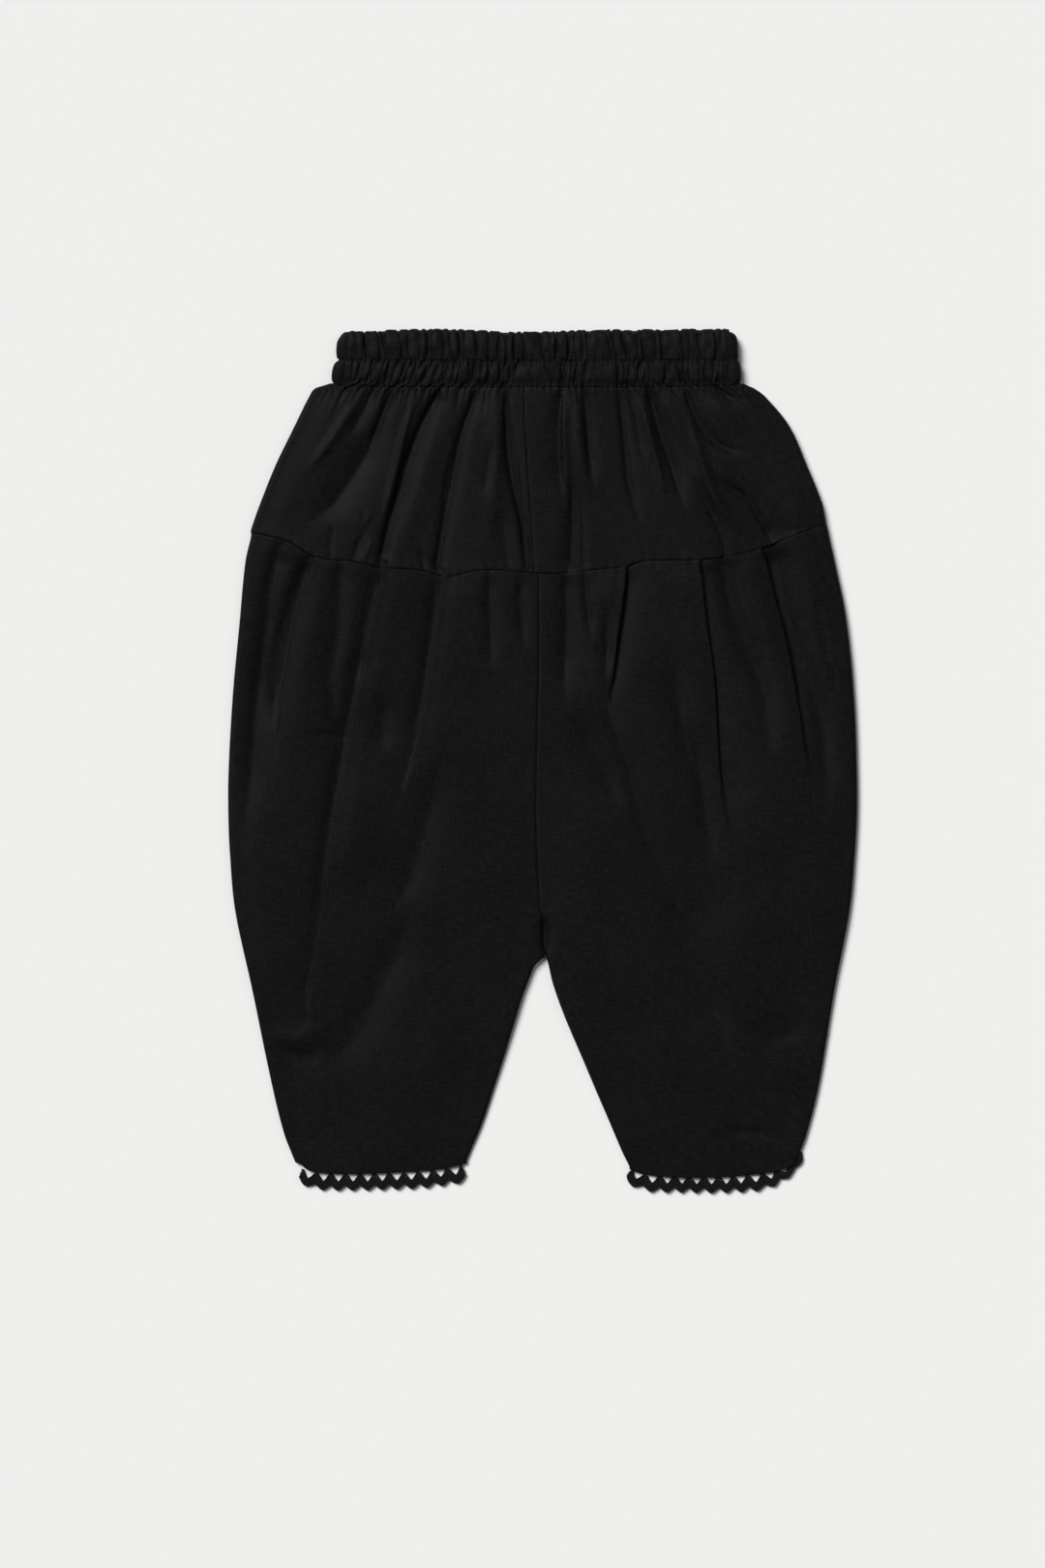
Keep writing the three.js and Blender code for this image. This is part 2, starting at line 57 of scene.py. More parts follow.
# The way out from the centre, and the sizes of the cloth, its seams and its hems.
OUT = {"right": -1, "left": 1}
CLOTH = 0.42
SEAM_GAP = 0.04
SEAM_TURN = 0.45
SEAM_ALLOWANCE = 4.5
CORNER_CLEAR = 0.05
HEM_TURN = 1.1
HEM_DEPTH = 12

# How low the upper sheet may lie and how high the under sheet may rise, and where the two meet at the inseam.
LEAST_FRONT = 1.7
MOST_BACK = 0.8
FRONT_INSEAM = 1.1
BACK_INSEAM = 0.9
INSEAM_RADIUS = 1.8
INSEAM_STARTS = (321, 327)
ALLOWANCE_THINS = (316, 322)


class Table:
    """Rows of sizes under named columns, and smooth curves through them."""

    def __init__(self, columns, *rows):
        self.columns = columns.split()
        self.rows = np.array(rows, float)

    def column(self, name):
        return self.rows[:, self.columns.index(name)]

    def follow(self, name, at):
        """The column `name` where the first column is `at`, on a smooth curve, level beyond its ends."""
        x, y = self.rows[:, 0], self.column(name)
        before = np.r_[0, np.arange(len(x) - 1)]
        after = np.r_[np.arange(1, len(x)), len(x) - 1]
        slope = (y[after] - y[before]) / (x[after] - x[before])
        at = np.clip(at, x[0], x[-1])
        i = np.clip(np.searchsorted(x, at, side="right") - 1, 0, len(x) - 2)
        span = x[i + 1] - x[i]
        t = (at - x[i]) / span
        bend = t * t * (3 - 2 * t)
        leaving = t * (1 - t) ** 2 * span * slope[i]
        arriving = t * t * (t - 1) * span * slope[i + 1]
        return y[i] + (y[i + 1] - y[i]) * bend + leaving + arriving


# Outline, seams and hems.
SIDE = Table(
    "down right left",
    (27, -106.5, 104.5),
    (28.5, -109.5, 106.5),
    (30.5, -115.5, 111),
    (34.5, -118.5, 116.5),
    (49.5, -126, 129),
    (69.5, -135.8, 138),
    (89.5, -143.8, 146),
    (99.5, -147.4, 148),
    (104.2, -148.8, 149.2),
    (106.5, -148.6, 149.6),
    (119.5, -151.5, 152.5),
    (149.5, -154.5, 158.5),
    (189.5, -158.3, 162.6),
    (229.5, -160.4, 164.2),
    (249.5, -160.4, 164.2),
    (269.5, -159.6, 163.2),
    (299.5, -156.8, 160.4),
    (339.5, -148.2, 152.8),
    (389.5, -138, 144.6),
    (414.5, -131.8, 138.4),
    (426, -127.4, 134.2),
    (434, -124, 130.8),
    (437, -122.6, 129.2),
)
INNER = Table(
    "down right left",
    (100, -0.5, -0.5),
    (160, 0, 0),
    (204, -0.8, -0.8),
    (252, -1.6, -1.6),
    (280, -0.6, -0.6),
    (296, 0.3, 0.3),
    (305, 1.8, 1.8),
    (315, 2.7, 2.7),
    (320, 3.0, 3.0),
    (323.2, 3.2, 3.6),
    (325.5, 0.6, 4.2),
    (328.5, -2.2, 5.0),
    (335, -4.9, 6.4),
    (342.5, -7.8, 8.7),
    (350, -10.2, 11.4),
    (360, -13.2, 15.4),
    (379.5, -19.3, 23.8),
    (389.5, -22.6, 28),
    (409.5, -29.2, 36.6),
    (424.5, -35.5, 43),
    (431, -38, 46.2),
    (437, -39.5, 48.8),
)
YOKE_CENTRE = Table("down across", (28, -8), (33, -8), (72, -6), (91, -4.8), (124, -3))
YOKE_SEAM = Table(
    "across down",
    (-152, 104.6),
    (-148, 105),
    (-130, 109.4),
    (-115, 117.6),
    (-96, 120),
    (-81, 123),
    (-61, 124.5),
    (-51, 127),
    (-46, 128),
    (-34, 125),
    (-22, 124.4),
    (6, 126.2),
    (32, 124),
    (43, 122.8),
    (55, 119.6),
    (85, 119),
    (103, 116.2),
    (115, 113),
    (133, 106),
    (148, 100),
    (153, 98.5),
)
HEM = {
    "right": Table(
        "across down",
        (-130, 426), (-123, 430.5), (-118, 434), (-100, 435.4), (-70, 434.6), (-50, 433), (-36, 429.5),
    ),
    "left": Table(
        "across down",
        (44, 431), (50, 434.5), (64, 436.8), (92, 437.2), (112, 435.8), (120, 434.6), (125, 433.2),
        (130, 431.5), (133.5, 427), (138, 421),
    ),
}
SHEET_HEIGHT = Table(
    "down flat roll",
    (28, 6.6, 5.8),
    (45, 6.9, 5.8),
    (80, 7.0, 5.6),
    (125, 6.7, 5.4),
    (200, 6.2, 5.2),
    (320, 4.6, 4.4),
    (437, 2.8, 3.2),
)
ROLL_WIDTH = 13


def smooth_line(points, steps):
    """A smooth curve through points, with a few steps from each to the next."""
    ends = np.vstack([2 * points[0] - points[1], points, 2 * points[-1] - points[-2]])
    line = []
    for a, b, c, d in zip(ends, ends[1:], ends[2:], ends[3:]):
        for t in np.linspace(0, 1, steps, endpoint=False):
            bend = 2 * a - 5 * b + 4 * c - d
            twist = -a + 3 * b - 3 * c + d
            line.append(0.5 * (2 * b + (c - a) * t + bend * t * t + twist * t**3))
    line.append(points[-1])
    return np.array(line)


# A fold's section and ends. A free end fades over a share of its length, and a sewn one keeps a share of its
# lift, over a few millimetres.
TROUGH_POWER = 1.3
RIDGE_POWER = 2
FOLD_REACH = 3.6
END_WIDTH = 0.7
FADE_IN = 0.35
FADE_OUT = 0.6
SEWN_START = (0.45, 8)
SEWN_END = (0.6, 5)
CASING_STITCHED = 31
SEAM_NEAR = 4


def is_sewn(point):
    """Whether a fold's end is held by the casing's stitching or by the yoke seam."""
    across, down = point
    return down < CASING_STITCHED or abs(YOKE_SEAM.follow("down", across) - down) < SEAM_NEAR


class Fold:
    """A soft ridge or trough along a line: how high it lifts the cloth, and how wide it is to the line's left
    and right, looking down the garment. A point may have a third number, which multiplies the widths."""

    def __init__(self, lift, left, right, *points):
        self.lift = lift
        self.left = left
        self.right = right
        line = smooth_line(np.array([(*point, 1)[:3] for point in points], float), 10)
        self.line = line[:, :2]
        self.swell = line[:, 2]

    def height(self, across, down):
        """The lift at each point of two equal arrays."""
        reach = FOLD_REACH * max(self.left, self.right) * self.swell.max()
        low, high = self.line.min(0) - reach, self.line.max(0) + reach
        near = (across > low[0]) & (across < high[0]) & (down > low[1]) & (down < high[1])
        lift = np.zeros_like(across)
        if not near.any():
            return lift
        here = np.stack([across[near], down[near]], axis=-1)
        runs = np.diff(self.line, axis=0)
        lengths = np.hypot(*runs.T)
        begun = np.r_[0, np.cumsum(lengths)]
        best = np.full(len(here), np.inf)
        side = np.zeros(len(here))
        along = np.zeros(len(here))
        for start, run, length, before in zip(self.line, runs, lengths, begun):
            offset = here - start
            t = np.clip(offset @ run / length**2, 0, 1)
            away = offset - t[:, None] * run
            distance = np.hypot(away[:, 0], away[:, 1])
            closer = distance < best
            best = np.where(closer, distance, best)
            turn = run[0] * offset[:, 1] - run[1] * offset[:, 0]
            side = np.where(closer, turn, side)
            along = np.where(closer, before + t * length, along)
        share = along / begun[-1]
        swell = np.interp(along, begun, self.swell) * mix(END_WIDTH, 1, np.sin(np.pi * share))
        narrowed = 1.0
        begin = ease(share, 0, FADE_IN)
        if is_sewn(self.line[0]):
            kept, length = SEWN_START
            begin = narrowed = mix(kept, 1, ease(along, 0, length))
        end = 1 - ease(share, FADE_OUT, 1)
        if is_sewn(self.line[-1]):
            kept, length = SEWN_END
            end = mix(kept, 1, ease(begun[-1] - along, 0, length))
        wide = np.where(side > 0, self.left, self.right) * swell * narrowed
        profile = np.exp(-((best / wide) ** (TROUGH_POWER if self.lift < 0 else RIDGE_POWER)))
        lift[near] = self.lift * profile * begin * end
        return lift


def ease(value, start, end):
    """0 before `start`, 1 after `end`, and smooth between them."""
    t = np.clip((value - start) / (end - start), 0, 1)
    return t * t * (3 - 2 * t)


def mix(a, b, t):
    return a + (b - a) * t


# Folds of the yoke that fan out from the gathers.
YOKE_FOLDS = [
    Fold(1.4, 3.0, 2.4, (-90, 31), (-96, 41), (-104, 54), (-113, 66), (-122, 77)),
    Fold(-1.7, 2.5, 4.5, (-84, 29.5), (-92, 45), (-99, 58)),
    Fold(-2.9, 1.6, 2.4, (-74.5, 29.5), (-76.5, 34), (-81.6, 46), (-86, 57), (-88.5, 64)),
    Fold(-3.6, 8.0, 7.0, (-78, 44), (-88, 63), (-98, 79), (-108, 92), (-124, 103)),
    Fold(1.6, 2.0, 1.4, (-62, 31), (-65.5, 42), (-69.5, 56), (-74, 76), (-79, 96), (-83, 110)),
    Fold(-3.6, 2.0, 5.0, (-50.5, 29.5), (-57, 42), (-62, 52), (-68.5, 70), (-73.5, 87), (-77.8, 101),
         (-82, 120)),
    Fold(0.8, 4.0, 7.0, (-50, 45), (-57, 66), (-64, 88), (-69, 112)),
    Fold(-2.9, 2.0, 3.4, (-31.5, 29.5), (-35, 40), (-40, 53.5), (-44.5, 75), (-49, 98), (-53, 123.5)),
    Fold(-1.0, 1.0, 1.0, (-43.5, 60), (-48, 80), (-51, 100)),
    Fold(-0.7, 2.0, 2.0, (-26, 29.5), (-28, 38), (-29, 46)),
    Fold(-1.0, 2.4, 2.0, (-23, 54), (-26, 72), (-28.5, 88)),
    Fold(1.0, 5.0, 3.0, (-21.5, 31), (-21.5, 56), (-23, 88), (-25, 116)),
    Fold(-3.4, 1.4, 3.2, (-17.8, 29.5, 0.6), (-17.4, 42, 0.7), (-16.5, 60, 1.2), (-14.3, 77, 1.3),
         (-9.8, 97), (-6, 123)),
    Fold(-1.2, 5.0, 5.0, (-19, 90), (-18, 106), (-16.5, 124)),
    Fold(-1.2, 2.2, 2.6, (-88, 96), (-91.5, 106), (-95.5, 119)),
    Fold(0.7, 1.6, 1.6, (-86.5, 92), (-90, 102), (-98, 114)),
    Fold(-0.7, 2.0, 2.0, (-106, 100), (-107, 108), (-107.5, 117)),
    Fold(0.7, 1.4, 1.4, (-85, 108), (-88, 114), (-90, 119)),
    Fold(-1.2, 1.1, 1.4, (-62, 112), (-60.5, 118), (-59, 124.5)),
    Fold(-1.0, 1.2, 1.4, (-56, 116), (-53.5, 121), (-49, 127)),
    Fold(-2.6, 5.0, 1.1, (12, 29.5, 0.5), (10.8, 43, 0.8), (10.2, 56, 1.2), (10.8, 72, 1.2),
         (12.6, 86), (14.5, 94, 0.6)),
    Fold(0.9, 1.2, 1.6, (13.2, 38), (13, 56), (13.8, 74)),
    Fold(1.0, 2.6, 2.6, (18.5, 31), (20, 44), (20.8, 58), (23, 70), (26, 84)),
    Fold(-2.6, 1.6, 3.0, (22.6, 29.5), (24.3, 45), (25.4, 60), (26.6, 72), (28.6, 86)),
    Fold(-2.9, 2.0, 2.0, (16, 66, 0.5), (17, 82, 0.9), (17.4, 97, 1.3), (16.8, 111, 2), (16.5, 125, 2.8)),
    Fold(-1.2, 1.2, 1.8, (20.5, 81), (22.4, 101), (22.9, 124)),
    Fold(-2.2, 1.4, 2.6, (40.6, 29.5), (42.6, 45), (44.2, 62), (46, 79), (50, 94), (54.5, 106)),
    Fold(-1.4, 3.0, 2.6, (46, 29.5), (49.5, 42), (52, 58), (54.5, 72)),
    Fold(1.4, 2.0, 1.6, (51, 31), (55.3, 47), (59.2, 62), (63.5, 80), (66, 95)),
    Fold(-3.6, 2.4, 4.6, (55.5, 29.5, 0.7), (59, 42, 0.9), (63, 56, 1.1), (67.5, 69, 1.1),
         (72.5, 85, 0.9), (76, 96, 0.6)),
    Fold(0.9, 2.0, 3.5, (63, 31), (68, 44), (73, 55), (78, 68)),
    Fold(-2.6, 1.8, 3.4, (74.4, 29.5, 0.6), (79, 42, 0.8), (85.5, 53.5, 1.3), (94.5, 61, 1.2),
         (104, 63.5, 0.8), (112, 64, 0.5)),
    Fold(1.8, 2.6, 2.6, (76, 40), (80, 56), (85, 73), (91, 88), (99, 99), (111, 110)),
    Fold(-1.7, 2.4, 2.0, (80, 74), (85, 87), (91, 99), (94.5, 108), (96.5, 120)),
    Fold(-2.4, 2.4, 2.2, (88, 72, 0.6), (93, 78, 1.2), (100, 83, 1.3), (108, 88), (114, 98, 0.8),
         (120, 109, 0.6)),
    Fold(-1.4, 2.2, 2.2, (87, 29.5), (95, 33.5), (108, 39)),
    Fold(0.9, 3.5, 4.5, (88, 33), (96, 46), (106, 57)),
    Fold(-1.1, 5.0, 5.0, (114, 102), (124, 104), (133, 104)),
]

# Soft hollows and swells of the legs.
LEG_FOLDS = [
    Fold(-2.8, 2.6, 1.4, (-118, 116), (-122.5, 130), (-127.2, 146), (-131, 163), (-134, 178),
         (-136, 192), (-137, 208)),
    Fold(-1.8, 3.2, 1.4, (-83.5, 124), (-89, 150), (-94, 178), (-101.5, 216), (-107, 248),
         (-112.5, 284), (-119, 322)),
    Fold(-1.4, 2.8, 1.4, (-52.5, 126), (-55.6, 155), (-60.2, 186), (-64.6, 211), (-68, 228)),
    Fold(-2.2, 6.0, 7.0, (-118, 112), (-127, 136), (-134, 162), (-138, 190), (-140, 215)),
    Fold(-3.6, 1.9, 1.9, (2.2, 301), (2.9, 311), (2.8, 319), (1.6, 326)),
    Fold(-3.6, 5.0, 7.0, (-134, 112), (-138.7, 133), (-141.6, 156), (-146, 190), (-148.5, 225),
         (-151, 248), (-153, 275)),
    Fold(-2.3, 5.2, 4.5, (-102, 119.5), (-103.5, 155), (-107.5, 178), (-105.8, 201), (-108, 228)),
    Fold(-1.3, 3.0, 3.6, (-91.5, 164), (-94.5, 174), (-98, 183)),
    Fold(-1.1, 1.4, 1.7, (-119, 210), (-108, 210), (-96, 209.5)),
    Fold(-1.7, 6.0, 6.0, (-80, 186), (-80.5, 204), (-82, 222)),
    Fold(-2.2, 3.0, 3.0, (-25.4, 125), (-25.4, 146), (-24.2, 178)),
    Fold(-1.8, 2.4, 2.7, (-9.6, 126.5), (-9, 148), (-6.4, 167)),
    Fold(-2.4, 8.0, 9.0, (-48, 216), (-56, 245), (-65, 278), (-78, 312)),
    Fold(-2.6, 9.0, 10.0, (-62, 292), (-78, 330), (-92, 357), (-114, 392)),
    Fold(1.1, 3.9, 3.9, (-142, 358), (-127, 366), (-108, 358)),
    Fold(-1.3, 7.5, 4.5, (-140, 368), (-122, 375), (-104, 369)),
    Fold(1.4, 13.5, 13.5, (-84, 222), (-92, 255), (-98, 290)),
    Fold(0.8, 12.0, 12.0, (-44, 330), (-52, 370), (-58, 415)),
    Fold(-3.4, 5.0, 5.5, (94, 116.6), (99.4, 143), (107.3, 165), (115, 185), (118.5, 206), (119, 228)),
    Fold(0.8, 1.2, 1.2, (141, 132), (142.4, 150), (146.2, 168), (151.4, 188), (155.5, 200)),
    Fold(-1.7, 1.2, 1.5, (142.6, 130), (144, 150), (147.8, 168), (153, 188), (157, 200)),
    Fold(-3.4, 6.0, 7.0, (121, 112), (126, 145), (134, 168), (141, 186), (146, 204), (148, 230),
         (148, 262)),
    Fold(-2.6, 4.5, 3.9, (80, 196), (81.5, 212), (84, 235), (87, 256), (92, 280)),
    Fold(-2.4, 6.0, 4.5, (66, 156), (71, 184), (75, 210), (80, 242)),
    Fold(-0.8, 3.8, 3.8, (96, 220), (101.5, 233), (107, 246)),
    Fold(-2.6, 3.9, 4.5, (13.7, 125.5), (14.3, 152), (13, 180), (15, 197)),
    Fold(-1.8, 1.8, 2.2, (23.2, 124.5), (25.1, 145), (27.5, 162)),
    Fold(-2.2, 3.0, 2.4, (34.6, 138), (35.2, 160), (34, 183)),
    Fold(-2.6, 7.0, 5.0, (15, 192), (31, 222), (44, 252)),
    Fold(1.1, 16.5, 16.5, (98, 290), (108, 325), (116, 356)),
    Fold(-1.3, 6.0, 7.5, (102, 358), (122, 366), (142, 354)),
    Fold(-1.0, 1.8, 1.8, (90, 416), (110, 414), (128, 418)),
    Fold(-2.4, 8.0, 8.0, (62, 288), (78, 325), (94, 360), (100, 388)),
    Fold(0.8, 12.0, 12.0, (58, 350), (66, 385), (74, 420)),
]

def pleat_line(*rows):
    return Table("down across rise", *rows)


# Knife pleats, from the centre outwards: the folded edge's place, and how high it stands. A minus says that
# the cloth nearer the side lies on top, and otherwise the cloth nearer the centre does.
PLEATS = {
    "right": [
        pleat_line(
            (105, -49.5, 1.4), (127, -50.1, 1.4), (140, -51.4, 1.4), (155, -53.3, 1.3),
            (170, -55.8, 1.3), (186, -57.7, 1.2), (200, -60.3, 1.2), (211, -62.2, 1.0), (219, -64, 0.75),
            (227, -66.6, 0.45), (236, -69.4, 0.2), (248, -71.5, 0), (340, -70, 0), (437, -64, 0),
        ),
        pleat_line(
            (105, -80.5, 1.3), (126, -81.2, 1.4), (136, -82.4, 1.4), (150, -86.2, 1.5),
            (165, -88.8, 1.6), (178, -91.3, 1.6), (191, -94.3, 1.5), (216, -98.9, 1.5), (248, -104, 1.3),
            (284, -109.5, 1.1), (324, -116, 0.9), (349, -119, 0.3), (365, -117, 0), (395, -104, 0),
            (437, -88, 0),
        ),
        pleat_line(
            (100, -110, 1.8), (118, -115.4, 1.8), (130, -119.2, 1.8), (146, -124.2, 1.8),
            (163, -128, 1.7), (176, -130.6, 1.6), (188, -132.5, 1.3), (198, -133.6, 0.85),
            (208, -134.4, 0.45), (218, -135, 0.2), (230, -135.6, 0), (280, -138, 0), (350, -132, 0),
            (437, -107, 0),
        ),
    ],
    "left": [
        pleat_line(
            (105, 46.5, 1.9), (126, 44.7, 1.9), (142, 42.8, 1.9), (160, 40.3, 1.7), (176, 38.4, 1.3),
            (190, 36.4, 0.4), (200, 36.2, -0.7), (212, 40.4, -1.1), (223, 44.7, -1.2), (238, 49.1, -1.2),
            (263, 56.1, -1.1), (290, 66, -0.8), (312, 74, -0.2), (330, 77, 0), (437, 74, 0),
        ),
        pleat_line(
            (100, 82.4, 1.1), (121, 83.3, 1.1), (138, 84.6, 1.2), (158, 87.1, 1.2), (176, 89.7, 1.1),
            (191, 90.9, 1.1), (223, 92.8, 1.0), (237, 94.5, 0.75), (247, 96, 0.45), (257, 97.6, 0.2),
            (270, 99.5, 0), (340, 105, 0), (437, 95, 0),
        ),
        pleat_line(
            (95, 109, 1.7), (112, 114.4, 1.7), (125, 118.2, 1.7), (140, 122, 1.8), (153, 125.8, 1.8),
            (171, 129.6, 1.6), (186, 132.1, 1.4), (201, 134.6, 1.1), (213, 137, 0.7), (223, 138.5, 0.4),
            (234, 139.5, 0.15), (246, 140, 0), (300, 139, 0), (370, 131, 0), (437, 115, 0),
        ),
    ],
}

# How a pleat lifts the cloth around it: the slope of its upper layer, that layer's roll down to the edge, and
# the hollow beside it. The yoke seam presses it to a share of its rise.
PLEAT_SLOPE = 16
HOLLOW_SHARE = 1.7
HOLLOW_REACH = 5.5
LIP_REACH = 1.6
ROLL_SHARE = 0.6
ROLL_REACH = 4.5
SEWN_SHARE = 0.45
SEWN_REACH = 12
TUCK = 4.2
LIP_SHUTS = (0.55, 1.15)

# One pleat's folded edge, from its upper layer round the edge, back under it and out again along the lower
# layer: how far beyond the edge, how far back into the tuck, and how high between the layers.
LIP = Table(
    "beyond tuck level",
    (-LIP_REACH, 0, 1),
    (-1.2, 0, 1),
    (-0.4, 0, 0.995),
    (0.1, 0, 0.96),
    (0.25, 0, 0.88),
    (0.1, 0, 0.8),
    (0.0, 0.35, 0.77),
    (0.0, 0.8, 0.66),
    (0.0, 1.0, 0.36),
    (0.0, 0.8, 0.07),
    (0.0, 0.35, 0),
    (0.6, 0, 0),
    (LIP_REACH, 0, 0),
)

# Gathers of the two channels: where each trough starts and ends across, and its depth.
UPPER_GATHERS = Table(
    "top foot depth",
    (-99, -98.4, 0.5), (-94.6, -94, 0.6), (-89.8, -87.6, 1.5), (-83.6, -81.8, 1.3), (-80.4, -77.2, 1.6),
    (-72.6, -70.4, 1.6), (-67.4, -66.4, 0.8), (-60.9, -61.2, 1.2), (-57.9, -57.9, 1.6),
    (-54.6, -54, 0.6), (-49.9, -48.8, 1.0), (-46.2, -43.6, 1.6), (-42.2, -41, 1.6), (-38, -36.9, 0.6),
    (-32.6, -31.9, 1.3), (-25.7, -26, 1.3), (-19.6, -20.6, 1.0), (-17.4, -17.1, 1.6),
    (-11.8, -12.1, 1.6), (-9.1, -7.7, 1.3), (1.0, 3.4, 1.2), (5.8, 6.2, 0.6), (8.3, 8.7, 1.5),
    (10.8, 11.0, 0.9), (14.3, 14.3, 1.6), (19, 19.5, 1.0), (22, 22.4, 0.6), (25.1, 25.5, 1.6),
    (34.6, 38.2, 0.8), (37, 40, 1.3), (42.7, 46.4, 1.5), (49.5, 51, 1.6), (52.4, 55.4, 1.1),
    (59.5, 60.2, 0.8), (63.5, 63.9, 1.2), (72.3, 75, 1.6), (77.6, 77.9, 0.6), (82.2, 83.6, 1.6),
    (90.2, 91, 1.3), (94.4, 94.8, 0.7), (99, 98.6, 0.5),
)
LOWER_GATHERS = Table(
    "top foot depth",
    (-99.5, -100.4, 0.5), (-95.6, -97.4, 0.6), (-91.2, -93.5, 1.0), (-85.8, -90.1, 1.6),
    (-82.5, -86.6, 0.7), (-79.5, -83.2, 0.9), (-77, -79.5, 1.3), (-72.2, -77, 1.6), (-68.5, -73.3, 1.2),
    (-65.2, -69.7, 1.6), (-62.4, -67.2, 0.8), (-59.8, -64.5, 1.6), (-57.2, -61.5, 1.2),
    (-54.6, -59.3, 1.6), (-51, -56, 0.7), (-47.7, -52, 1.6), (-45.8, -49.8, 1.1), (-43.2, -46.2, 1.6),
    (-39.4, -41.2, 0.7), (-36.3, -37, 1.6), (-32.6, -33.7, 1.6), (-29, -30.7, 1.2), (-26, -27.1, 1.6),
    (-23.5, -24.5, 0.9), (-20.2, -22, 1.6), (-16.9, -17.2, 1.6), (-15, -15.5, 0.9), (-11, -13.1, 1.5),
    (3.5, 7.5, 0.7), (11.5, 11, 1.6), (14.3, 12.7, 1.5), (17, 15.5, 1.0), (20.5, 18, 1.5),
    (24.5, 22.3, 1.6), (41.5, 41, 1.6), (43.5, 44, 1.3), (47, 45.9, 1.0), (51.9, 51.5, 1.6),
    (54.5, 53.5, 0.8), (57, 59.5, 1.0), (64.5, 64, 1.6), (68.3, 66.3, 1.1), (70.4, 74, 1.6),
    (73.9, 76.3, 0.8), (77.5, 78, 1.0), (82, 82.2, 0.8), (86.3, 86.7, 1.4), (90.2, 88.4, 1.0),
    (93.5, 92, 1.1), (97.5, 98, 0.7), (101, 101.5, 0.5),
)
GATHER_WIDTH = 0.68
GATHER_DEPTH = 1.3
GATHER_POWER = 1.5
DEEPEST_GATHER = 1.9
GATHER_BEND = 0.9
GATHER_LEAN = 0.45
BACK_SHIFT = 1.7
BACK_GATHER = 0.7

BAND_EDGE = Table(
    "down right left",
    (0, -100.4, 99.4),
    (1.2, -101.6, 100.8),
    (2.5, -102.4, 101.7),
    (4.5, -103.4, 102.2),
    (7, -104.2, 102.6),
    (12, -104.6, 102.8),
    (15.5, -104.2, 102.9),
    (16.8, -103.2, 102.4),
    (17.6, -104.4, 103.1),
    (19, -105.6, 103.8),
    (22, -106.6, 104.2),
    (27, -107, 104.4),
    (29.2, -106.2, 103.6),
    (30.2, -105.0, 102.4),
)
BAND_TOP = Table(
    "down height",
    (0, 4.6),
    (0.5, 5.8),
    (1.4, 6.8),
    (3, 7.4),
    (8, 7.9),
    (13, 7.7),
    (15.8, 7.4),
    (17, 7.1),
    (18.2, 7.4),
    (21, 7.7),
    (25, 7.6),
    (28, 7.1),
    (29.6, 6.75),
    (30.4, 6.6),
)
BAND_RIM = Table(
    "across down",
    (-101, 1.6),
    (-88, 1.3),
    (-60, 0.2),
    (-40, 0.4),
    (-18, 1.6),
    (-3, 1.7),
    (10, 1.2),
    (30, 0.7),
    (60, 0.6),
    (90, 0.2),
    (99, 0.2),
)
BAND_REACH = 105
BAND_COLUMNS = 500
BAND_FOOT = 30.2
BAND_RISE = 1.6
RIM_BUMPS = 0.6
RIM_DEPTH = 2.5
FOOT_EASES = 4
FOOT_HIGHEST = 7.6
CHANNEL_SEAM = 17.0
BAND_WALL = 2.5


def yoke_top(across):
    """The line where the casing is stitched to the yoke, a little higher at the sides."""
    return BAND_FOOT - BAND_RISE * np.abs(across / BAND_REACH) ** 4


def wobble(across, down, sizes):
    """A gentle unevenness made of a few long waves: rows of height, wavelength, direction and start."""
    total = np.zeros_like(across)
    for height, length, turn, start in sizes:
        along = across * math.cos(turn) + down * math.sin(turn)
        total = total + height * np.sin(2 * np.pi * along / length + start)
    return total


LONG_WAVES = (
    (0.28, 83, 0.25, 0.3),
    (0.16, 57, -0.3, 1.9),
    (0.10, 41, 0.15, 4.0),
    (0.06, 37, 1.2, 2.2),
    (0.04, 27, -0.5, 5.1),
)
SHORT_WAVES = ((0.05, 6.1, 0.2, 0.4), (0.04, 4.3, 2.7, 1.3), (0.025, 3.1, 1.7, 3.3))
PUCKER_WAVES = ((0.20, 3.3, 0, 0.4), (0.18, 2.3, 0, 2.1), (0.10, 4.7, 0, 1.2), (0.12, 1.7, 0, 4.4))
CASING_WAVES = ((0.16, 19, 0.5, 0.7), (0.14, 13, -0.7, 2.9), (0.10, 9, 1.1, 4.6))


def gather_troughs(table, across, share, scale=1.0):
    """The depth of a table's gathers at each point, `share` of the way from their top to their foot.

    Each bends a little, swells and thins on its way, and is steeper on one side."""
    depth = np.zeros_like(across)
    for number, (top, foot, deep) in enumerate(table.rows):
        bend = GATHER_BEND * math.sin(2.7 * number) * math.sin(math.pi * share)
        beyond = across - mix(top, foot, share) * scale - bend
        lean = GATHER_LEAN * math.sin(2.4 * number)
        swell = 1.15 + 0.5 * math.sin(1.9 * number + 3.5 * share)
        wide = GATHER_WIDTH * swell * np.where(beyond > 0, 1 + lean, 1 - lean)
        fading = 0.75 + 0.35 * math.sin(3.1 * number + 4.2 * share)
        depth = depth + deep * fading * np.exp(-np.abs(beyond / wide) ** GATHER_POWER)
    return depth


def seam_puckers(across):
    """The small puckers that the elastic draws along a row of stitching."""
    return wobble(across, np.zeros_like(across), PUCKER_WAVES)


def seam_dip(distance, deep, wide):
    return deep * np.exp(-((distance / wide) ** 2))


def pleat_rise(pleat, across, down):
    """How high a pleat's folded edge stands: less where the yoke seam presses it."""
    seam = YOKE_SEAM.follow("down", across)
    return pleat.follow("rise", down) * mix(SEWN_SHARE, 1, ease(down - seam, 0, SEWN_REACH))


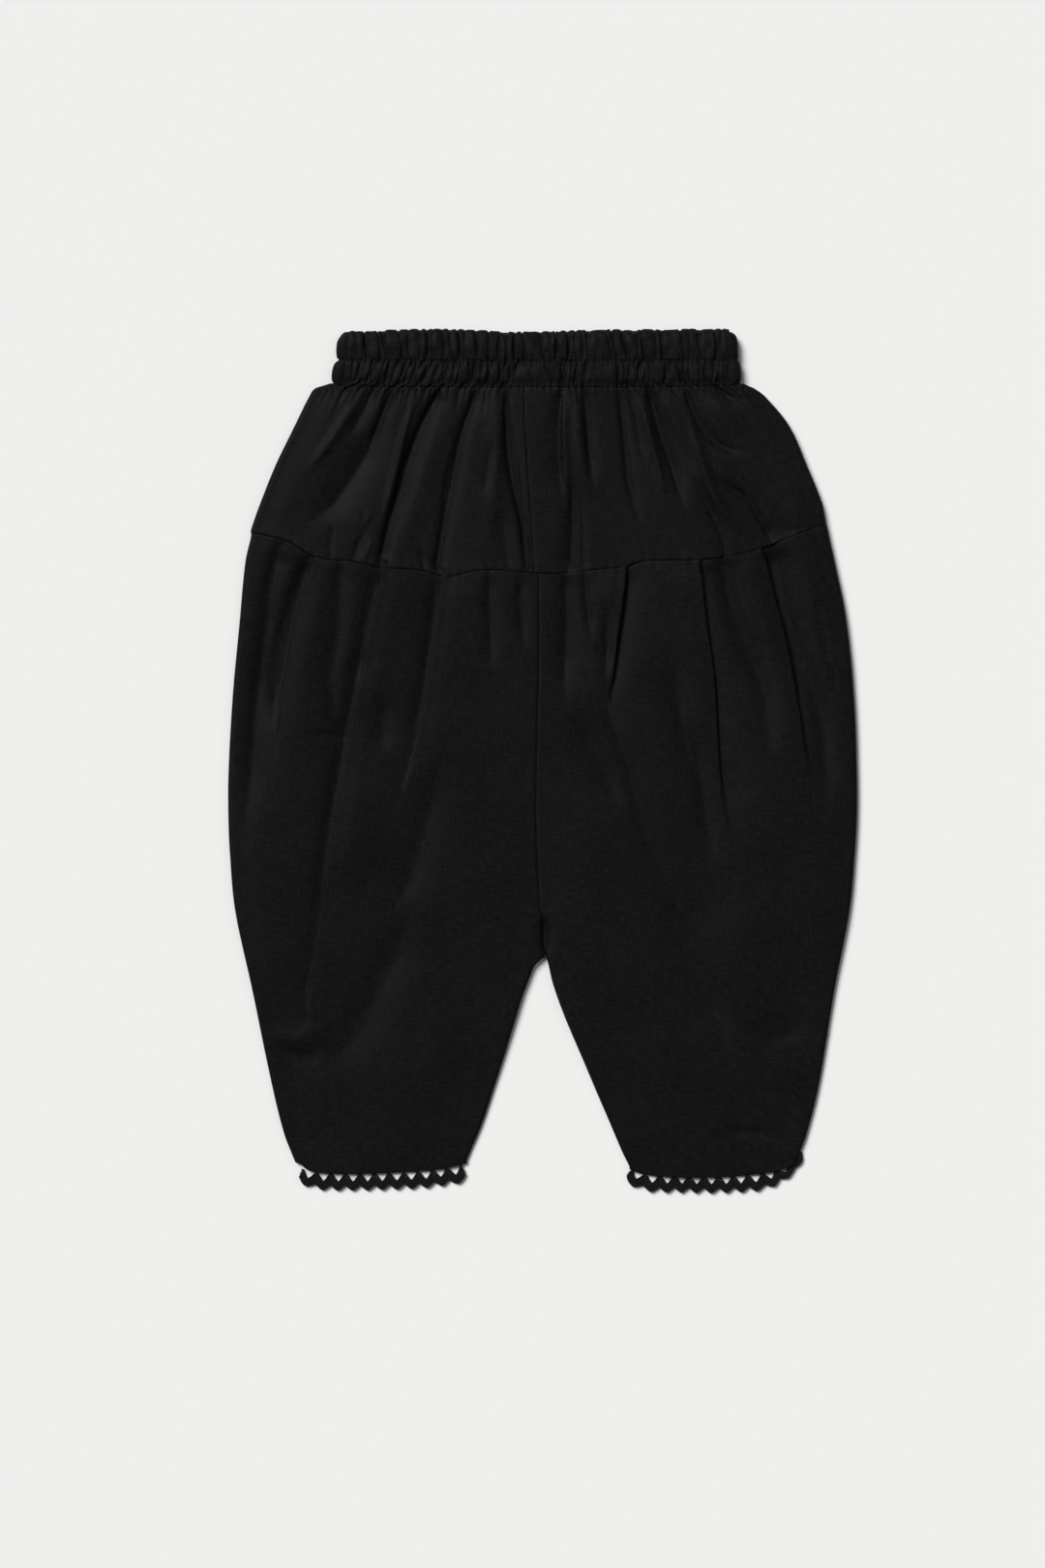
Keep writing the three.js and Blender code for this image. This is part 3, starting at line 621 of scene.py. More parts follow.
def pleat_lift(pleat, side, across, down):
    """How far a pleat lifts the cloth on either side of its folded edge."""
    beyond = (across - pleat.follow("across", down)) * OUT[side]
    rise = pleat_rise(pleat, across, down)
    upper = np.where(rise > 0, beyond < 0, beyond > 0)
    distance = np.maximum(np.abs(beyond), LIP_REACH)
    beyond_lip = distance - LIP_REACH
    rolled = ROLL_SHARE * np.exp(-((beyond_lip / ROLL_REACH) ** 2))
    above = np.abs(rise) * (np.exp(-beyond_lip / PLEAT_SLOPE) - rolled)
    below = -HOLLOW_SHARE * np.abs(rise) * np.exp(-beyond_lip / HOLLOW_REACH)
    return np.where(upper, above, below)


# The lower gathers' depth and reach in the yoke, the puckers beside the yoke seam and below the casing, the
# depth and width of the centre seams, and how much of the front's creases the back has.
YOKE_GATHER = 1.1
YOKE_GATHER_REACH = 6.5
SEAM_PUCKER = 2.2
SEAM_PUCKER_REACH = 4
CASING_PUCKER_REACH = 3.0
CENTRE_DIP = {"yoke": (0.35, 0.5), "leg": (0.5, 0.7)}
BACK_CREASE = 0.5
BACK_PLEAT = 0.45


def centre_line(side, down, is_yoke):
    """The yoke's centre seam, or the legs' centre seam and then the inseam."""
    return YOKE_CENTRE.follow("across", down) if is_yoke else INNER.follow(side, down)


def cloth_height(side, across, down, is_yoke):
    """The height of the upper sheet's outside, without its pleats."""
    flat = SHEET_HEIGHT.follow("flat", down)
    roll = SHEET_HEIGHT.follow("roll", down)
    edge = SIDE.follow(side, down)
    inset = (edge - across) * OUT[side] - roll / 2
    rolled = 1 - ease(inset, 0, ROLL_WIDTH)
    folded = wobble(across, down, LONG_WAVES)
    for fold in YOKE_FOLDS if is_yoke else LEG_FOLDS:
        folded = folded + fold.height(across, down)
    seam = YOKE_SEAM.follow("down", across)
    near_seam = np.exp(-np.abs(down - seam) / SEAM_PUCKER_REACH)
    folded = folded + near_seam * SEAM_PUCKER * wobble(across, down * 0, SHORT_WAVES)
    folded = folded - seam_dip(down - seam, 0.2, 0.6)
    if is_yoke:
        spread = edge * OUT[side] / BAND_REACH
        below = np.maximum(down - BAND_FOOT, 0)
        gathered = gather_troughs(LOWER_GATHERS, across, 1.0, spread)
        folded = folded - YOKE_GATHER * np.exp(-((below / YOKE_GATHER_REACH) ** 1.4)) * gathered
        folded = folded - np.exp(-((below / CASING_PUCKER_REACH) ** 2)) * seam_puckers(across + BAND_FOOT)
        folded = folded - seam_dip(down - yoke_top(across), 0.15, 0.8)
    centre = centre_line(side, down, is_yoke)
    folded = folded - seam_dip(across - centre, *CENTRE_DIP["yoke" if is_yoke else "leg"])
    return mix(flat + folded, roll + 0.4 * folded, rolled)


def back_height(side, across, down, is_yoke):
    """The height of the under sheet's outside: flat on the floor, with creases that rise from it."""
    raised = np.zeros_like(across)
    for fold in YOKE_FOLDS if is_yoke else LEG_FOLDS:
        if fold.lift < 0:
            raised = raised - BACK_CREASE * fold.height(-across + BACK_SHIFT, down)
    seam = YOKE_SEAM.follow("down", across)
    raised = raised + seam_dip(down - seam, 0.5, 1.0)
    if not is_yoke:
        for pleat in PLEATS[side]:
            beyond = across - pleat.follow("across", down)
            rise = np.abs(pleat.follow("rise", down))
            raised = raised + BACK_PLEAT * rise * np.exp(-((beyond / 1.4) ** 2))
    return np.minimum(raised, MOST_BACK)


def to_frame(across, down, height):
    """Points of the frame, in metres, from three equal arrays in millimetres."""
    x = CENTRE_X + across * MM
    y = WAIST_Y - down * MM
    return np.stack([x, y, height * MM], axis=-1)


def grid_mesh(name, points, cloth_at, closed_rows=False, closed_columns=False):
    """A mesh of quads through a grid of points, with the flat cloth's own coordinates as its UV map."""
    rows, columns = points.shape[:2]
    index = np.arange(rows * columns).reshape(rows, columns)
    if closed_rows:
        index = np.vstack([index, index[:1]])
    if closed_columns:
        index = np.hstack([index, index[:, :1]])
    quads = np.stack([index[:-1, :-1], index[1:, :-1], index[1:, 1:], index[:-1, 1:]], axis=-1)
    mesh = bpy.data.meshes.new(name)
    mesh.from_pydata(points.reshape(-1, 3).tolist(), [], quads.reshape(-1, 4).tolist())
    layer = mesh.uv_layers.new(name="cloth")
    corners = np.zeros(len(mesh.loops), int)
    mesh.loops.foreach_get("vertex_index", corners)
    flat = cloth_at.reshape(-1, 2)[corners]
    layer.data.foreach_set("uv", flat.astype(np.float32).ravel())
    mesh.shade_smooth()
    piece = bpy.data.objects.new(name, mesh)
    bpy.context.collection.objects.link(piece)
    return piece


def apply_modifier(piece, kind, **settings):
    for other in bpy.context.selected_objects:
        other.select_set(False)
    bpy.context.view_layer.objects.active = piece
    piece.select_set(True)
    modifier = piece.modifiers.new(kind.lower(), kind)
    for name, value in settings.items():
        setattr(modifier, name, value)
    bpy.ops.object.modifier_apply(modifier=modifier.name)
    piece.select_set(False)


def thicken(piece):
    apply_modifier(piece, "SOLIDIFY", thickness=CLOTH * MM, offset=-1)
    for vertex in piece.data.vertices:
        vertex.co.z = max(vertex.co.z, 0)


FIRST_GUESS = (30.0, 437.0)
ROLL_STEPS = 12
EDGE_OFFSETS = (0, 0.25, 0.6, 1.0, 1.5, 2.2, 3.2)


def fold_start(side, down):
    """Where the side fold begins, inside the outline by the radius of its roll."""
    radius = SHEET_HEIGHT.follow("roll", down) / 2
    return SIDE.follow(side, down) - OUT[side] * radius


def centre_edge(side, down, is_yoke):
    """Where a piece's edge lies at the centre seam or the inseam."""
    return centre_line(side, down, is_yoke) + OUT[side] * SEAM_GAP / 2


def wrapped_grid(side, front, foot_and_top, shares, back_count, is_yoke):
    """The points of a piece that wraps from the centre front round the side to the centre back.

    `front` gives the front's columns across and its pleats' lift, for rows at given places down."""
    top_at, foot_at = foot_and_top
    v = shares[:, None]
    down = mix(*FIRST_GUESS, v)
    for _ in range(6):
        across, lift = front(down)
        down = np.broadcast_to(mix(top_at(across), foot_at(across), v), across.shape)
    across, lift = front(down)
    height = cloth_height(side, across, down, is_yoke) + lift
    height = np.maximum(height, LEAST_FRONT)
    edge_of = round_inner_edge(side, across, down, is_yoke)
    height = mix(FRONT_INSEAM + CLOTH, height, edge_of)

    last_across, last_down, last_height = across[:, -1:], down[:, -1:], height[:, -1:]
    angles = np.pi / 2 - np.pi * np.arange(1, ROLL_STEPS) / ROLL_STEPS
    radius = last_height / 2
    roll_across = last_across + OUT[side] * radius * np.cos(angles)
    roll_down = last_down + 0 * angles
    roll_height = radius + radius * np.sin(angles)

    t = np.linspace(1, 0, back_count)[None, :]
    back_down = mix(last_down, down[:, :1], 1 - t)
    for _ in range(4):
        back_across = mix(centre_edge(side, back_down, is_yoke), fold_start(side, back_down), t)
        back_down = mix(top_at(back_across), foot_at(back_across), v)
    raised = back_height(side, back_across, back_down, is_yoke)
    raised = raised * ease(1 - t, 0, 0.06)
    edge_of = round_inner_edge(side, back_across, back_down, is_yoke)
    raised = mix(BACK_INSEAM, raised, edge_of)

    inward = np.zeros((2, across.shape[1] + len(angles) + back_count))
    inward[1, : across.shape[1]] = -1
    inward[0, across.shape[1] : -back_count] = -OUT[side] * np.cos(angles)
    inward[1, across.shape[1] : -back_count] = -np.sin(angles)
    inward[1, -back_count:] = 1
    across = np.hstack([across, roll_across, back_across])
    down = np.hstack([down, roll_down, back_down])
    height = np.hstack([height, roll_height, raised])
    hem = not is_yoke
    cloth = turn_edges(side, np.stack([across, down, height]), inward, hem)
    return to_frame(*cloth), flat_cloth(*cloth)


def turn_edges(side, cloth, inward, hem):
    """The cloth with its seam allowances, and a leg's hem, turned in behind it."""

    def row(edge, lower, deep):
        moved = cloth[:, edge].copy()
        moved[0] += inward[0] * deep
        moved[1] += lower
        moved[2] += inward[1] * deep
        return moved[:, None]

    if hem:
        top = [row(0, -SEAM_ALLOWANCE, SEAM_TURN + 0.3), row(0, -0.3, SEAM_TURN + 0.2), row(0, 0, 0.4)]
        foot = [row(-1, 0.2, 0.25), row(-1, 0.2, HEM_TURN - 0.3), row(-1, 0, HEM_TURN)]
        foot += [row(-1, -HEM_DEPTH, HEM_TURN)]
    else:
        top = [row(0, 0, SEAM_TURN)]
        foot = [row(-1, 0, SEAM_TURN - 0.1)]
    cloth = np.concatenate([*top, cloth, *foot], axis=1)
    shallow = 1 - 0.8 * ease(cloth[1], *ALLOWANCE_THINS)

    def column(edge, across, deep):
        moved = cloth[:, :, edge].copy()
        moved[0] += OUT[side] * across
        moved[2] += inward[1, edge] * deep * shallow[:, edge]
        return moved[:, :, None]

    front = [column(0, SEAM_ALLOWANCE, SEAM_TURN + 0.3), column(0, CORNER_CLEAR, SEAM_TURN)]
    back = [column(-1, CORNER_CLEAR, SEAM_TURN), column(-1, SEAM_ALLOWANCE, SEAM_TURN + 0.3)]
    return np.concatenate([*front, cloth, *back], axis=2)


def round_inner_edge(side, across, down, is_yoke):
    """1 inside the cloth and 0 at the inseam, where front and back are sewn together."""
    if is_yoke:
        return np.ones_like(across)
    inside = np.abs(across - INNER.follow(side, down))
    t = np.clip(1 - inside / INSEAM_RADIUS, 0, 1)
    rounded = np.sqrt(1 - t * t)
    return mix(1.0, rounded, ease(down, *INSEAM_STARTS))


def flat_cloth(across, down, height):
    """The cloth's own coordinates, in metres: how far round from the centre front, and how far down."""
    step = np.hypot(np.diff(across, axis=1), np.diff(height, axis=1))
    round_at = np.cumsum(np.hstack([np.zeros_like(across[:, :1]), step]), axis=1)
    return np.stack([round_at * MM, -down * MM], axis=-1)


def spaced_rows(length, step, fine, fine_length):
    """Shares of a length, closer together near both of its ends."""
    end = np.arange(0, fine_length, fine)
    middle = np.arange(fine_length, length - fine_length, step)
    return np.r_[end, middle, length - end[::-1]] / length


YOKE_WIDTH = {"right": 148, "left": 146}


def make_yoke(side):
    offsets = np.r_[EDGE_OFFSETS, np.arange(4.2, YOKE_WIDTH[side], 1.0)] / YOKE_WIDTH[side]
    shares = np.r_[offsets[offsets < 0.995], 1.0]

    def front(down):
        across = mix(centre_edge(side, down, True), fold_start(side, down), shares)
        return across, np.zeros_like(across)

    def top_at(across):
        return yoke_top(across) - 0.4

    def foot_at(across):
        return YOKE_SEAM.follow("down", across) - 0.1

    rows = spaced_rows(95, 1.15, 0.45, 5)
    points, cloth_at = wrapped_grid(side, front, (top_at, foot_at), rows, 46, True)
    return wrapped_piece(f"yoke_cloth_{side}", side, points, cloth_at)


def wrapped_piece(name, side, points, cloth_at):
    if side == "right":
        points, cloth_at = points[:, ::-1], cloth_at[:, ::-1]
    piece = grid_mesh(name, points, cloth_at)
    thicken(piece)
    return piece


LEG_COLUMNS = {"right": (36, 16, 16, 16), "left": (34, 26, 18, 14)}


def own_column(values, i):
    """Column i of values worked out for every column, or their only column."""
    return values[:, i % values.shape[1]]


def leg_columns(side, down):
    """The leg's front columns for rows at `down`, from the centre to the side, and how pleats lift them."""
    out = OUT[side]
    pleats = PLEATS[side]
    lines = [centre_edge(side, down, False)]
    lines += [pleat.follow("across", down) for pleat in pleats]
    lines += [fold_start(side, down)]
    columns = []
    own = []
    for gap, count in enumerate(LEG_COLUMNS[side]):
        has_pleat = gap < len(pleats)
        start = lines[gap] + (out * LIP_REACH if gap else 0)
        stop = lines[gap + 1] - (out * LIP_REACH if has_pleat else 0)
        t = np.linspace(0, 1, count)[int(gap > 0) : count - int(has_pleat)]
        if gap == 0:
            columns += [start + out * offset for offset in EDGE_OFFSETS]
            own += [None] * len(EDGE_OFFSETS)
            start = start + out * EDGE_OFFSETS[-1]
            t = t[1:]
        columns += [mix(start, stop, share) for share in t]
        own += [None] * len(t)
        if has_pleat:
            rise = pleats[gap].follow("rise", down)
            shapes = [lip_shape(rise, k) for k in range(len(LIP.rows))]
            columns += [lines[gap + 1] + out * beyond for beyond, _ in shapes]
            own += [(gap, level) for _, level in shapes]
    across = np.stack([own_column(column, i) for i, column in enumerate(columns)], axis=1)
    here = np.broadcast_to(down, across.shape)
    lift = np.zeros_like(across)
    for number, pleat in enumerate(pleats):
        sides = pleat_lift(pleat, side, across, here)
        for i, mark in enumerate(own):
            if mark is not None and mark[0] == number:
                rise = np.abs(pleat_rise(pleat, across[:, i], here[:, i]))
                sides[:, i] = mix(-HOLLOW_SHARE * rise, (1 - ROLL_SHARE) * rise, own_column(mark[1], i))
        lift = lift + sides
    return across, lift


def lip_shape(rise, k):
    """Where point k of a pleat's folded edge lies beyond the edge, and its level between the two layers."""
    last = len(LIP.rows) - 1
    straight = mix(-LIP_REACH, LIP_REACH, k / last)
    slope = 1 - ease(straight, -LIP_REACH, LIP_REACH)
    shut = ease(np.abs(rise), *LIP_SHUTS)
    shapes = []
    for row, flip in ((LIP.rows[k], 1), (LIP.rows[last - k], -1)):
        beyond, tuck, level = row
        place = flip * (beyond - tuck * TUCK * shut)
        even = slope if flip > 0 else 1 - slope
        shapes.append((mix(straight, place, shut), mix(even, level, shut)))
    inner_on_top, outer_on_top = shapes
    beyond = np.where(rise >= 0, inner_on_top[0], outer_on_top[0])
    level = np.where(rise >= 0, inner_on_top[1], outer_on_top[1])
    return beyond, level


def make_leg(side):
    def front(down):
        return leg_columns(side, down)

    def top_at(across):
        return YOKE_SEAM.follow("down", across) + 0.1

    def foot_at(across):
        return HEM[side].follow("down", across)

    rows = spaced_rows(312, 1.7, 0.5, 4)
    points, cloth_at = wrapped_grid(side, front, (top_at, foot_at), rows, 44, False)
    return wrapped_piece(f"leg_cloth_{side}", side, points, cloth_at)


def band_ring(down, wall, gathered, lifted=0.0):
    """One row of points right round the casing, `wall` inside its outer face or `lifted` off it."""
    low, high = (float(BAND_EDGE.follow(side, down)) for side in ("right", "left"))
    top = float(BAND_TOP.follow("height", down))
    floor = max(0.0, BAND_TOP.rows[:, 1].max() - top) * 0.5
    radius = (top - floor) / 2
    t = np.linspace(0, 1, BAND_COLUMNS)
    across = mix(low + radius, high - radius, t)
    place = down + (yoke_top(across) - BAND_FOOT) * down / BAND_FOOT
    place = place + BAND_RIM.follow("down", across) * (1 - ease(down, 0, 9))
    held = ease(0.5 - np.abs(t - 0.5), 0, 0.015)
    front = top - wall + lifted - gathered * held * band_gathers(across, down)
    if gathered and down > BAND_FOOT - FOOT_EASES:
        yoke = [cloth_height(side, across, place, True) for side in ("right", "left")]
        beneath = np.where(across < YOKE_CENTRE.rows[0, 1], *yoke) + 0.12 + lifted
        pressed = held * ease(down, BAND_FOOT - FOOT_EASES, BAND_FOOT - 0.4)
        front = mix(front, np.minimum(beneath, FOOT_HIGHEST), pressed)
    behind = np.maximum(band_gathers(-across + BACK_SHIFT, down), 0)
    back = floor + wall - lifted + BACK_GATHER * gathered * held * behind
    reach = radius - wall + lifted
    middle = (top + floor) / 2
    angles = np.pi / 2 - np.pi * np.arange(1, ROLL_STEPS) / ROLL_STEPS
    turned, raised = reach * np.cos(angles), reach * np.sin(angles)
    bumps = RIM_BUMPS * gathered * held * (band_gathers(across, 1.0) - 0.6) * (1 - ease(down, 0, RIM_DEPTH))
    beside = np.full(len(angles), place[0])
    xs = np.r_[across, across[-1] + turned, across[::-1], across[0] - turned]
    ds = np.r_[place + bumps, beside, place[::-1], beside]
    zs = np.r_[front, middle + raised, back[::-1], middle - raised]
    return np.stack([xs, ds, zs])


def make_waistband():
    """The casing: a ring round the body whose section is a thick loop, with gathers on its outer face."""
    steps = ((0, 3, 0.4), (3, 15, 0.8), (15, 19, 0.35), (19, 28, 0.75), (28, 30.3, 0.35))
    rows = np.concatenate([np.arange(*step) for step in steps])
    rings = [band_ring(down, 0.0, 1.0) for down in rows]
    rings += [band_ring(down, BAND_WALL, 0.0) for down in (29.8, 24, 17, 9, 2.2)]
    cloth = np.stack(rings, axis=1)
    points, cloth_at = to_frame(*cloth), flat_cloth(*cloth)
    return grid_mesh("waistband_casing", points, cloth_at, closed_rows=True, closed_columns=True)


def band_gathers(across, down):
    """The depth of the casing's gathers along one row."""
    upper = 1 - ease(down, CHANNEL_SEAM - 1.4, CHANNEL_SEAM + 1.2)
    upper_share = np.clip(down / CHANNEL_SEAM, 0, 1)
    lower_share = np.clip((down - CHANNEL_SEAM) / (BAND_FOOT - CHANNEL_SEAM), 0, 1)
    depth = upper * gather_troughs(UPPER_GATHERS, across, upper_share)
    depth = depth + (1 - upper) * gather_troughs(LOWER_GATHERS, across, lower_share)
    place = across * 0 + down
    waves = 1.2 * wobble(across, place, SHORT_WAVES) + wobble(across, place, CASING_WAVES)
    for seam in (CHANNEL_SEAM, BAND_FOOT):
        waves = waves + seam_puckers(across + seam) * math.exp(-(((down - seam) / 2.2) ** 2))
    return GATHER_DEPTH * np.minimum(depth, DEEPEST_GATHER) + waves


# Hem braid: rickrack of four cords, each of two twisted plies. Drops are measured from the hem's edge.
BRAID = Table("valley tip", (0.0, 4.5), (2.1, 5.75), (3.6, 6.9), (5.2, 8.05))
PLY_RADIUS = 0.37
PLY_OFFSET = 0.26
PLY_TWIST = 1.9
PLY_SIDES = 8
STEPS_PER_SCALLOP = 34
LACE_LEVEL = {"front": 1.75, "back": 0.85}
LACE_SHIFT = {"front": 0.0, "back": 0.012}
SCALLOP_SHARPNESS = 0.55
LACE_PATHS = {
    "right": Table(
        "across down reach",
        (-39.8, 431.2, 0.9),
        (-43.3, 432.4, 1),
        (-51, 433.6, 1),
        (-59, 434.6, 1),
        (-75, 435.4, 1),
        (-97, 435.9, 1),
        (-112, 435.6, 1),
        (-118, 434.9, 0.9),
        (-122.4, 433.4, 0.7),
    ),
    "left": Table(
        "across down reach",
        (47.8, 433, 0.7),
        (51, 435, 0.9),
        (58, 436.6, 1),
        (74, 437, 1),
        (92, 437.2, 1),
        (110, 436.4, 1),
        (117, 435.4, 0.95),
        (123, 433.6, 0.8),
        (128.6, 431.4, 0.6),
        (131.6, 428, 0.5),
        (133.2, 423.6, 0.4),
    ),
}
SCALLOPS = {"right": 11, "left": 12}


def lace_place(side, place, drop):
    """A point `place` of the way along the hem, `drop` beyond its edge."""
    path = smooth_line(LACE_PATHS[side].rows, 10)
    along = np.r_[0, np.cumsum(np.hypot(*np.diff(path[:, :2], axis=0).T))]
    drop = drop * np.interp(place * along[-1], along, path[:, 2])
    across = np.interp(place * along[-1], along, path[:, 0])
    down = np.interp(place * along[-1], along, path[:, 1])
    ahead = np.gradient(np.stack([across, down]), axis=1)
    ahead /= np.hypot(*ahead)
    return across - ahead[1] * OUT[side] * drop, down + np.abs(ahead[0]) * drop


def tube(path, radius, sides):
    """Points and quads of a round tube along a path, with both of its ends closed."""
    ahead = np.gradient(path, axis=0)
    ahead /= np.linalg.norm(ahead, axis=1)[:, None]
    up = np.array([0, 0, 1.0])
    beside = np.cross(ahead, up)
    beside /= np.linalg.norm(beside, axis=1)[:, None]
    above = np.cross(beside, ahead)
    angles = 2 * np.pi * np.arange(sides) / sides
    rings = (
        path[:, None]
        + radius * np.cos(angles)[None, :, None] * beside[:, None]
        + radius * np.sin(angles)[None, :, None] * above[:, None]
    )
    points = rings.reshape(-1, 3)
    index = np.arange(len(points)).reshape(len(path), sides)
    around = np.roll(index, -1, axis=1)
    quads = np.stack([index[:-1], index[1:], around[1:], around[:-1]], axis=-1).reshape(-1, 4)
    caps = [index[0].tolist(), index[-1][::-1].tolist()]
    return points, quads.tolist() + caps


STITCH = {"pitch": 2.6, "length": 1.9, "radius": 0.16, "sides": 6}


def stitch_line(path):
    """Short threads laid end to end, with small gaps, along a path in millimetres."""
    along = np.r_[0, np.cumsum(np.linalg.norm(np.diff(path, axis=0), axis=1))]
    count = int(along[-1] / STITCH["pitch"])
    shapes = []
    for number in range(count):
        start = (number + 0.2) * along[-1] / count
        places = start + STITCH["length"] * np.array([0, 0.15, 0.5, 0.85, 1])
        thread = np.stack([np.interp(places, along, path[:, i]) for i in range(3)], axis=-1)
        thread[[0, -1], 2] -= STITCH["radius"] * np.sign(thread[0, 2] - 3)
        shapes.append(tube(thread * MM, STITCH["radius"] * MM, STITCH["sides"]))
    return shapes


def make_casing_stitches():
    """Two lines of stitching right round: between the channels, and along the casing's foot."""
    shapes = []
    for down in (CHANNEL_SEAM, BAND_FOOT - 0.7):
        ring = to_frame(*band_ring(down, 0.0, 1.0, 0.12))
        ring = np.vstack([ring, ring[:1]]) / MM
        shapes += stitch_line(ring)
    return join_shapes("casing_stitches", shapes)


def join_shapes(name, shapes):
    """One object from many (points, faces) pairs."""
    points, faces, count = [], [], 0
    for these, those in shapes:
        points.append(these)
        faces += [[i + count for i in face] for face in those]
        count += len(these)
    mesh = bpy.data.meshes.new(name)
    mesh.from_pydata(np.vstack(points).tolist(), [], faces)
    mesh.shade_smooth()
    piece = bpy.data.objects.new(name, mesh)
    bpy.context.collection.objects.link(piece)
    return piece


def make_lace(side, level):
    """One run of hem braid, on the front or the back of a leg."""
    shapes = []
    shift = LACE_SHIFT[level]
    place = np.linspace(0, 1, SCALLOPS[side] * STEPS_PER_SCALLOP + 1)
    phase = (place * SCALLOPS[side]) % 1
    for number, (valley, tip) in enumerate(BRAID.rows):
        wave = (1 - np.abs(2 * phase - 1)) ** 0.9
        wave = wave * wave * (3 - 2 * wave) * (1 - SCALLOP_SHARPNESS) + wave * SCALLOP_SHARPNESS
        drop = mix(valley, tip, wave)
        across, down = lace_place(side, place * (1 - shift) + shift / 2, drop)
        centre = to_frame(across, down, np.full_like(across, LACE_LEVEL[level])) / MM
        along = np.r_[0, np.cumsum(np.linalg.norm(np.diff(centre, axis=0), axis=1))]
        ahead = np.gradient(centre, axis=0)
        ahead /= np.linalg.norm(ahead, axis=1)[:, None]
        beside = np.cross(ahead, [0, 0, 1.0])
        for ply in range(2):
            turn = 2 * np.pi * along / PLY_TWIST + np.pi * ply + number
            path = centre + PLY_OFFSET * np.cos(turn)[:, None] * beside
            path[:, 2] += 0.8 * PLY_OFFSET * np.sin(turn)
            shapes.append(tube(path * MM, PLY_RADIUS * MM, PLY_SIDES))
    return join_shapes(f"hem_braid_{side}_{level}", shapes)


# Materials.
class Shade:
    """A socket of a material's nodes. Sums and products of sockets add Math nodes."""

    def __init__(self, tree, socket=None):
        self.tree = tree
        self.socket = socket

    def node(self, kind, settings=None, inputs=None, output=0):
        """A node: its type, its settings, the values or links of its sockets, and the output wanted."""
        made = self.tree.nodes.new(kind)
        for name, value in (settings or {}).items():
            setattr(made, name, value)
        for name, value in (inputs or {}).items():
            if isinstance(value, Shade):
                self.tree.links.new(value.socket, made.inputs[name])
            else:
                made.inputs[name].default_value = value
        return Shade(self.tree, made.outputs[output])

    def noise(self, at, scale, detail=2.0):
        return self.node("ShaderNodeTexNoise", None, {"Vector": at, "Scale": scale, "Detail": detail})

    def feed(self, shader, name):
        self.tree.links.new(self.socket, shader.inputs[name])

    def maths(self, operation, *values):
        return self.node("ShaderNodeMath", {"operation": operation}, dict(enumerate(values)))

    def __add__(self, other):
        return self.maths("ADD", self, other)

    def __sub__(self, other):
        return self.maths("SUBTRACT", self, other)

    def __rsub__(self, other):
        return self.maths("SUBTRACT", other, self)

    def __mul__(self, other):
        return self.maths("MULTIPLY", self, other)

    __radd__ = __add__
    __rmul__ = __mul__


def new_material(name, **fixed):
    """A material with a plain Principled shader, whose fixed values are set on its own sockets."""
    material = bpy.data.materials.new(name)
    material.use_nodes = True
    tree = material.node_tree
    shader = tree.nodes["Principled BSDF"]
    for socket, value in fixed.items():
        shader.inputs[socket.replace("_", " ")].default_value = value
    return material, tree, shader


def colours(tree, mask, dark, light):
    """A colour between two, by a mask."""
    inputs = {0: mask, 6: (*dark, 1), 7: (*light, 1)}
    return Shade(tree).node("ShaderNodeMix", {"data_type": "RGBA"}, inputs, output=2)


YARN_PITCH = 0.42
COTTON_DARK = (0.0027, 0.0027, 0.0028)
COTTON_LIGHT = (0.0079, 0.0079, 0.0080)
LINT = (0.09, 0.09, 0.088)


def cotton_material():
    """Black cotton, plain weave with uneven yarns, a little lint and a soft sheen."""
    material, tree, shader = new_material(
        "black_cotton", Specular_IOR_Level=0.045, Sheen_Weight=0.01, Sheen_Roughness=0.4
    )
    start = Shade(tree)
    flat = start.node("ShaderNodeUVMap", {"uv_map": "cloth"})
    per_metre = math.pi / (YARN_PITCH * MM)
    split = start.node("ShaderNodeSeparateXYZ", None, {0: flat})
    x = split
    y = Shade(tree, split.socket.node.outputs[1])
    weft = start.maths("SINE", x * per_metre)
    warp = start.maths("SINE", y * per_metre)
    weave = weft * warp
    slub_wide = start.node("ShaderNodeMapping", None, {"Vector": flat, "Scale": (160, 1500, 1)})
    slub_long = start.node("ShaderNodeMapping", None, {"Vector": flat, "Scale": (1500, 160, 1)})
    slubs = start.noise(slub_wide, 1.0)
    lines = start.noise(slub_long, 1.0)
    place = start.node("ShaderNodeTexCoord", output=3)
    worn = start.noise(place, 28.0, 3.0)
    yarns = slubs * 0.5 + lines * 0.5
    tone = yarns * 3.6 + worn * 0.5 + weave * 0.08 - 1.55
    tone = start.node("ShaderNodeClamp", None, {0: tone})
    black = colours(tree, tone, COTTON_DARK, COTTON_LIGHT)
    dots = start.node("ShaderNodeTexVoronoi", None, {"Vector": place, "Scale": 95.0, "Randomness": 1.0})
    chance = Shade(tree, dots.socket.node.outputs["Color"])
    rare = start.maths("GREATER_THAN", start.node("ShaderNodeSeparateColor", None, {0: chance}), 0.985)
    near = start.maths("LESS_THAN", dots, 0.04)
    lint = rare * near * 0.25
    shown = start.node("ShaderNodeMix", {"data_type": "RGBA"}, {0: lint, 6: black, 7: (*LINT, 1)}, output=2)
    shown.feed(shader, "Base Color")
    rough = 0.46 + yarns * 0.12
    rough.feed(shader, "Roughness")
    raised = weave * 0.3 + yarns * 0.9
    bump = start.node("ShaderNodeBump", None, {"Height": raised, "Strength": 0.5, "Distance": 0.00012})
    bump.feed(shader, "Normal")
    return material


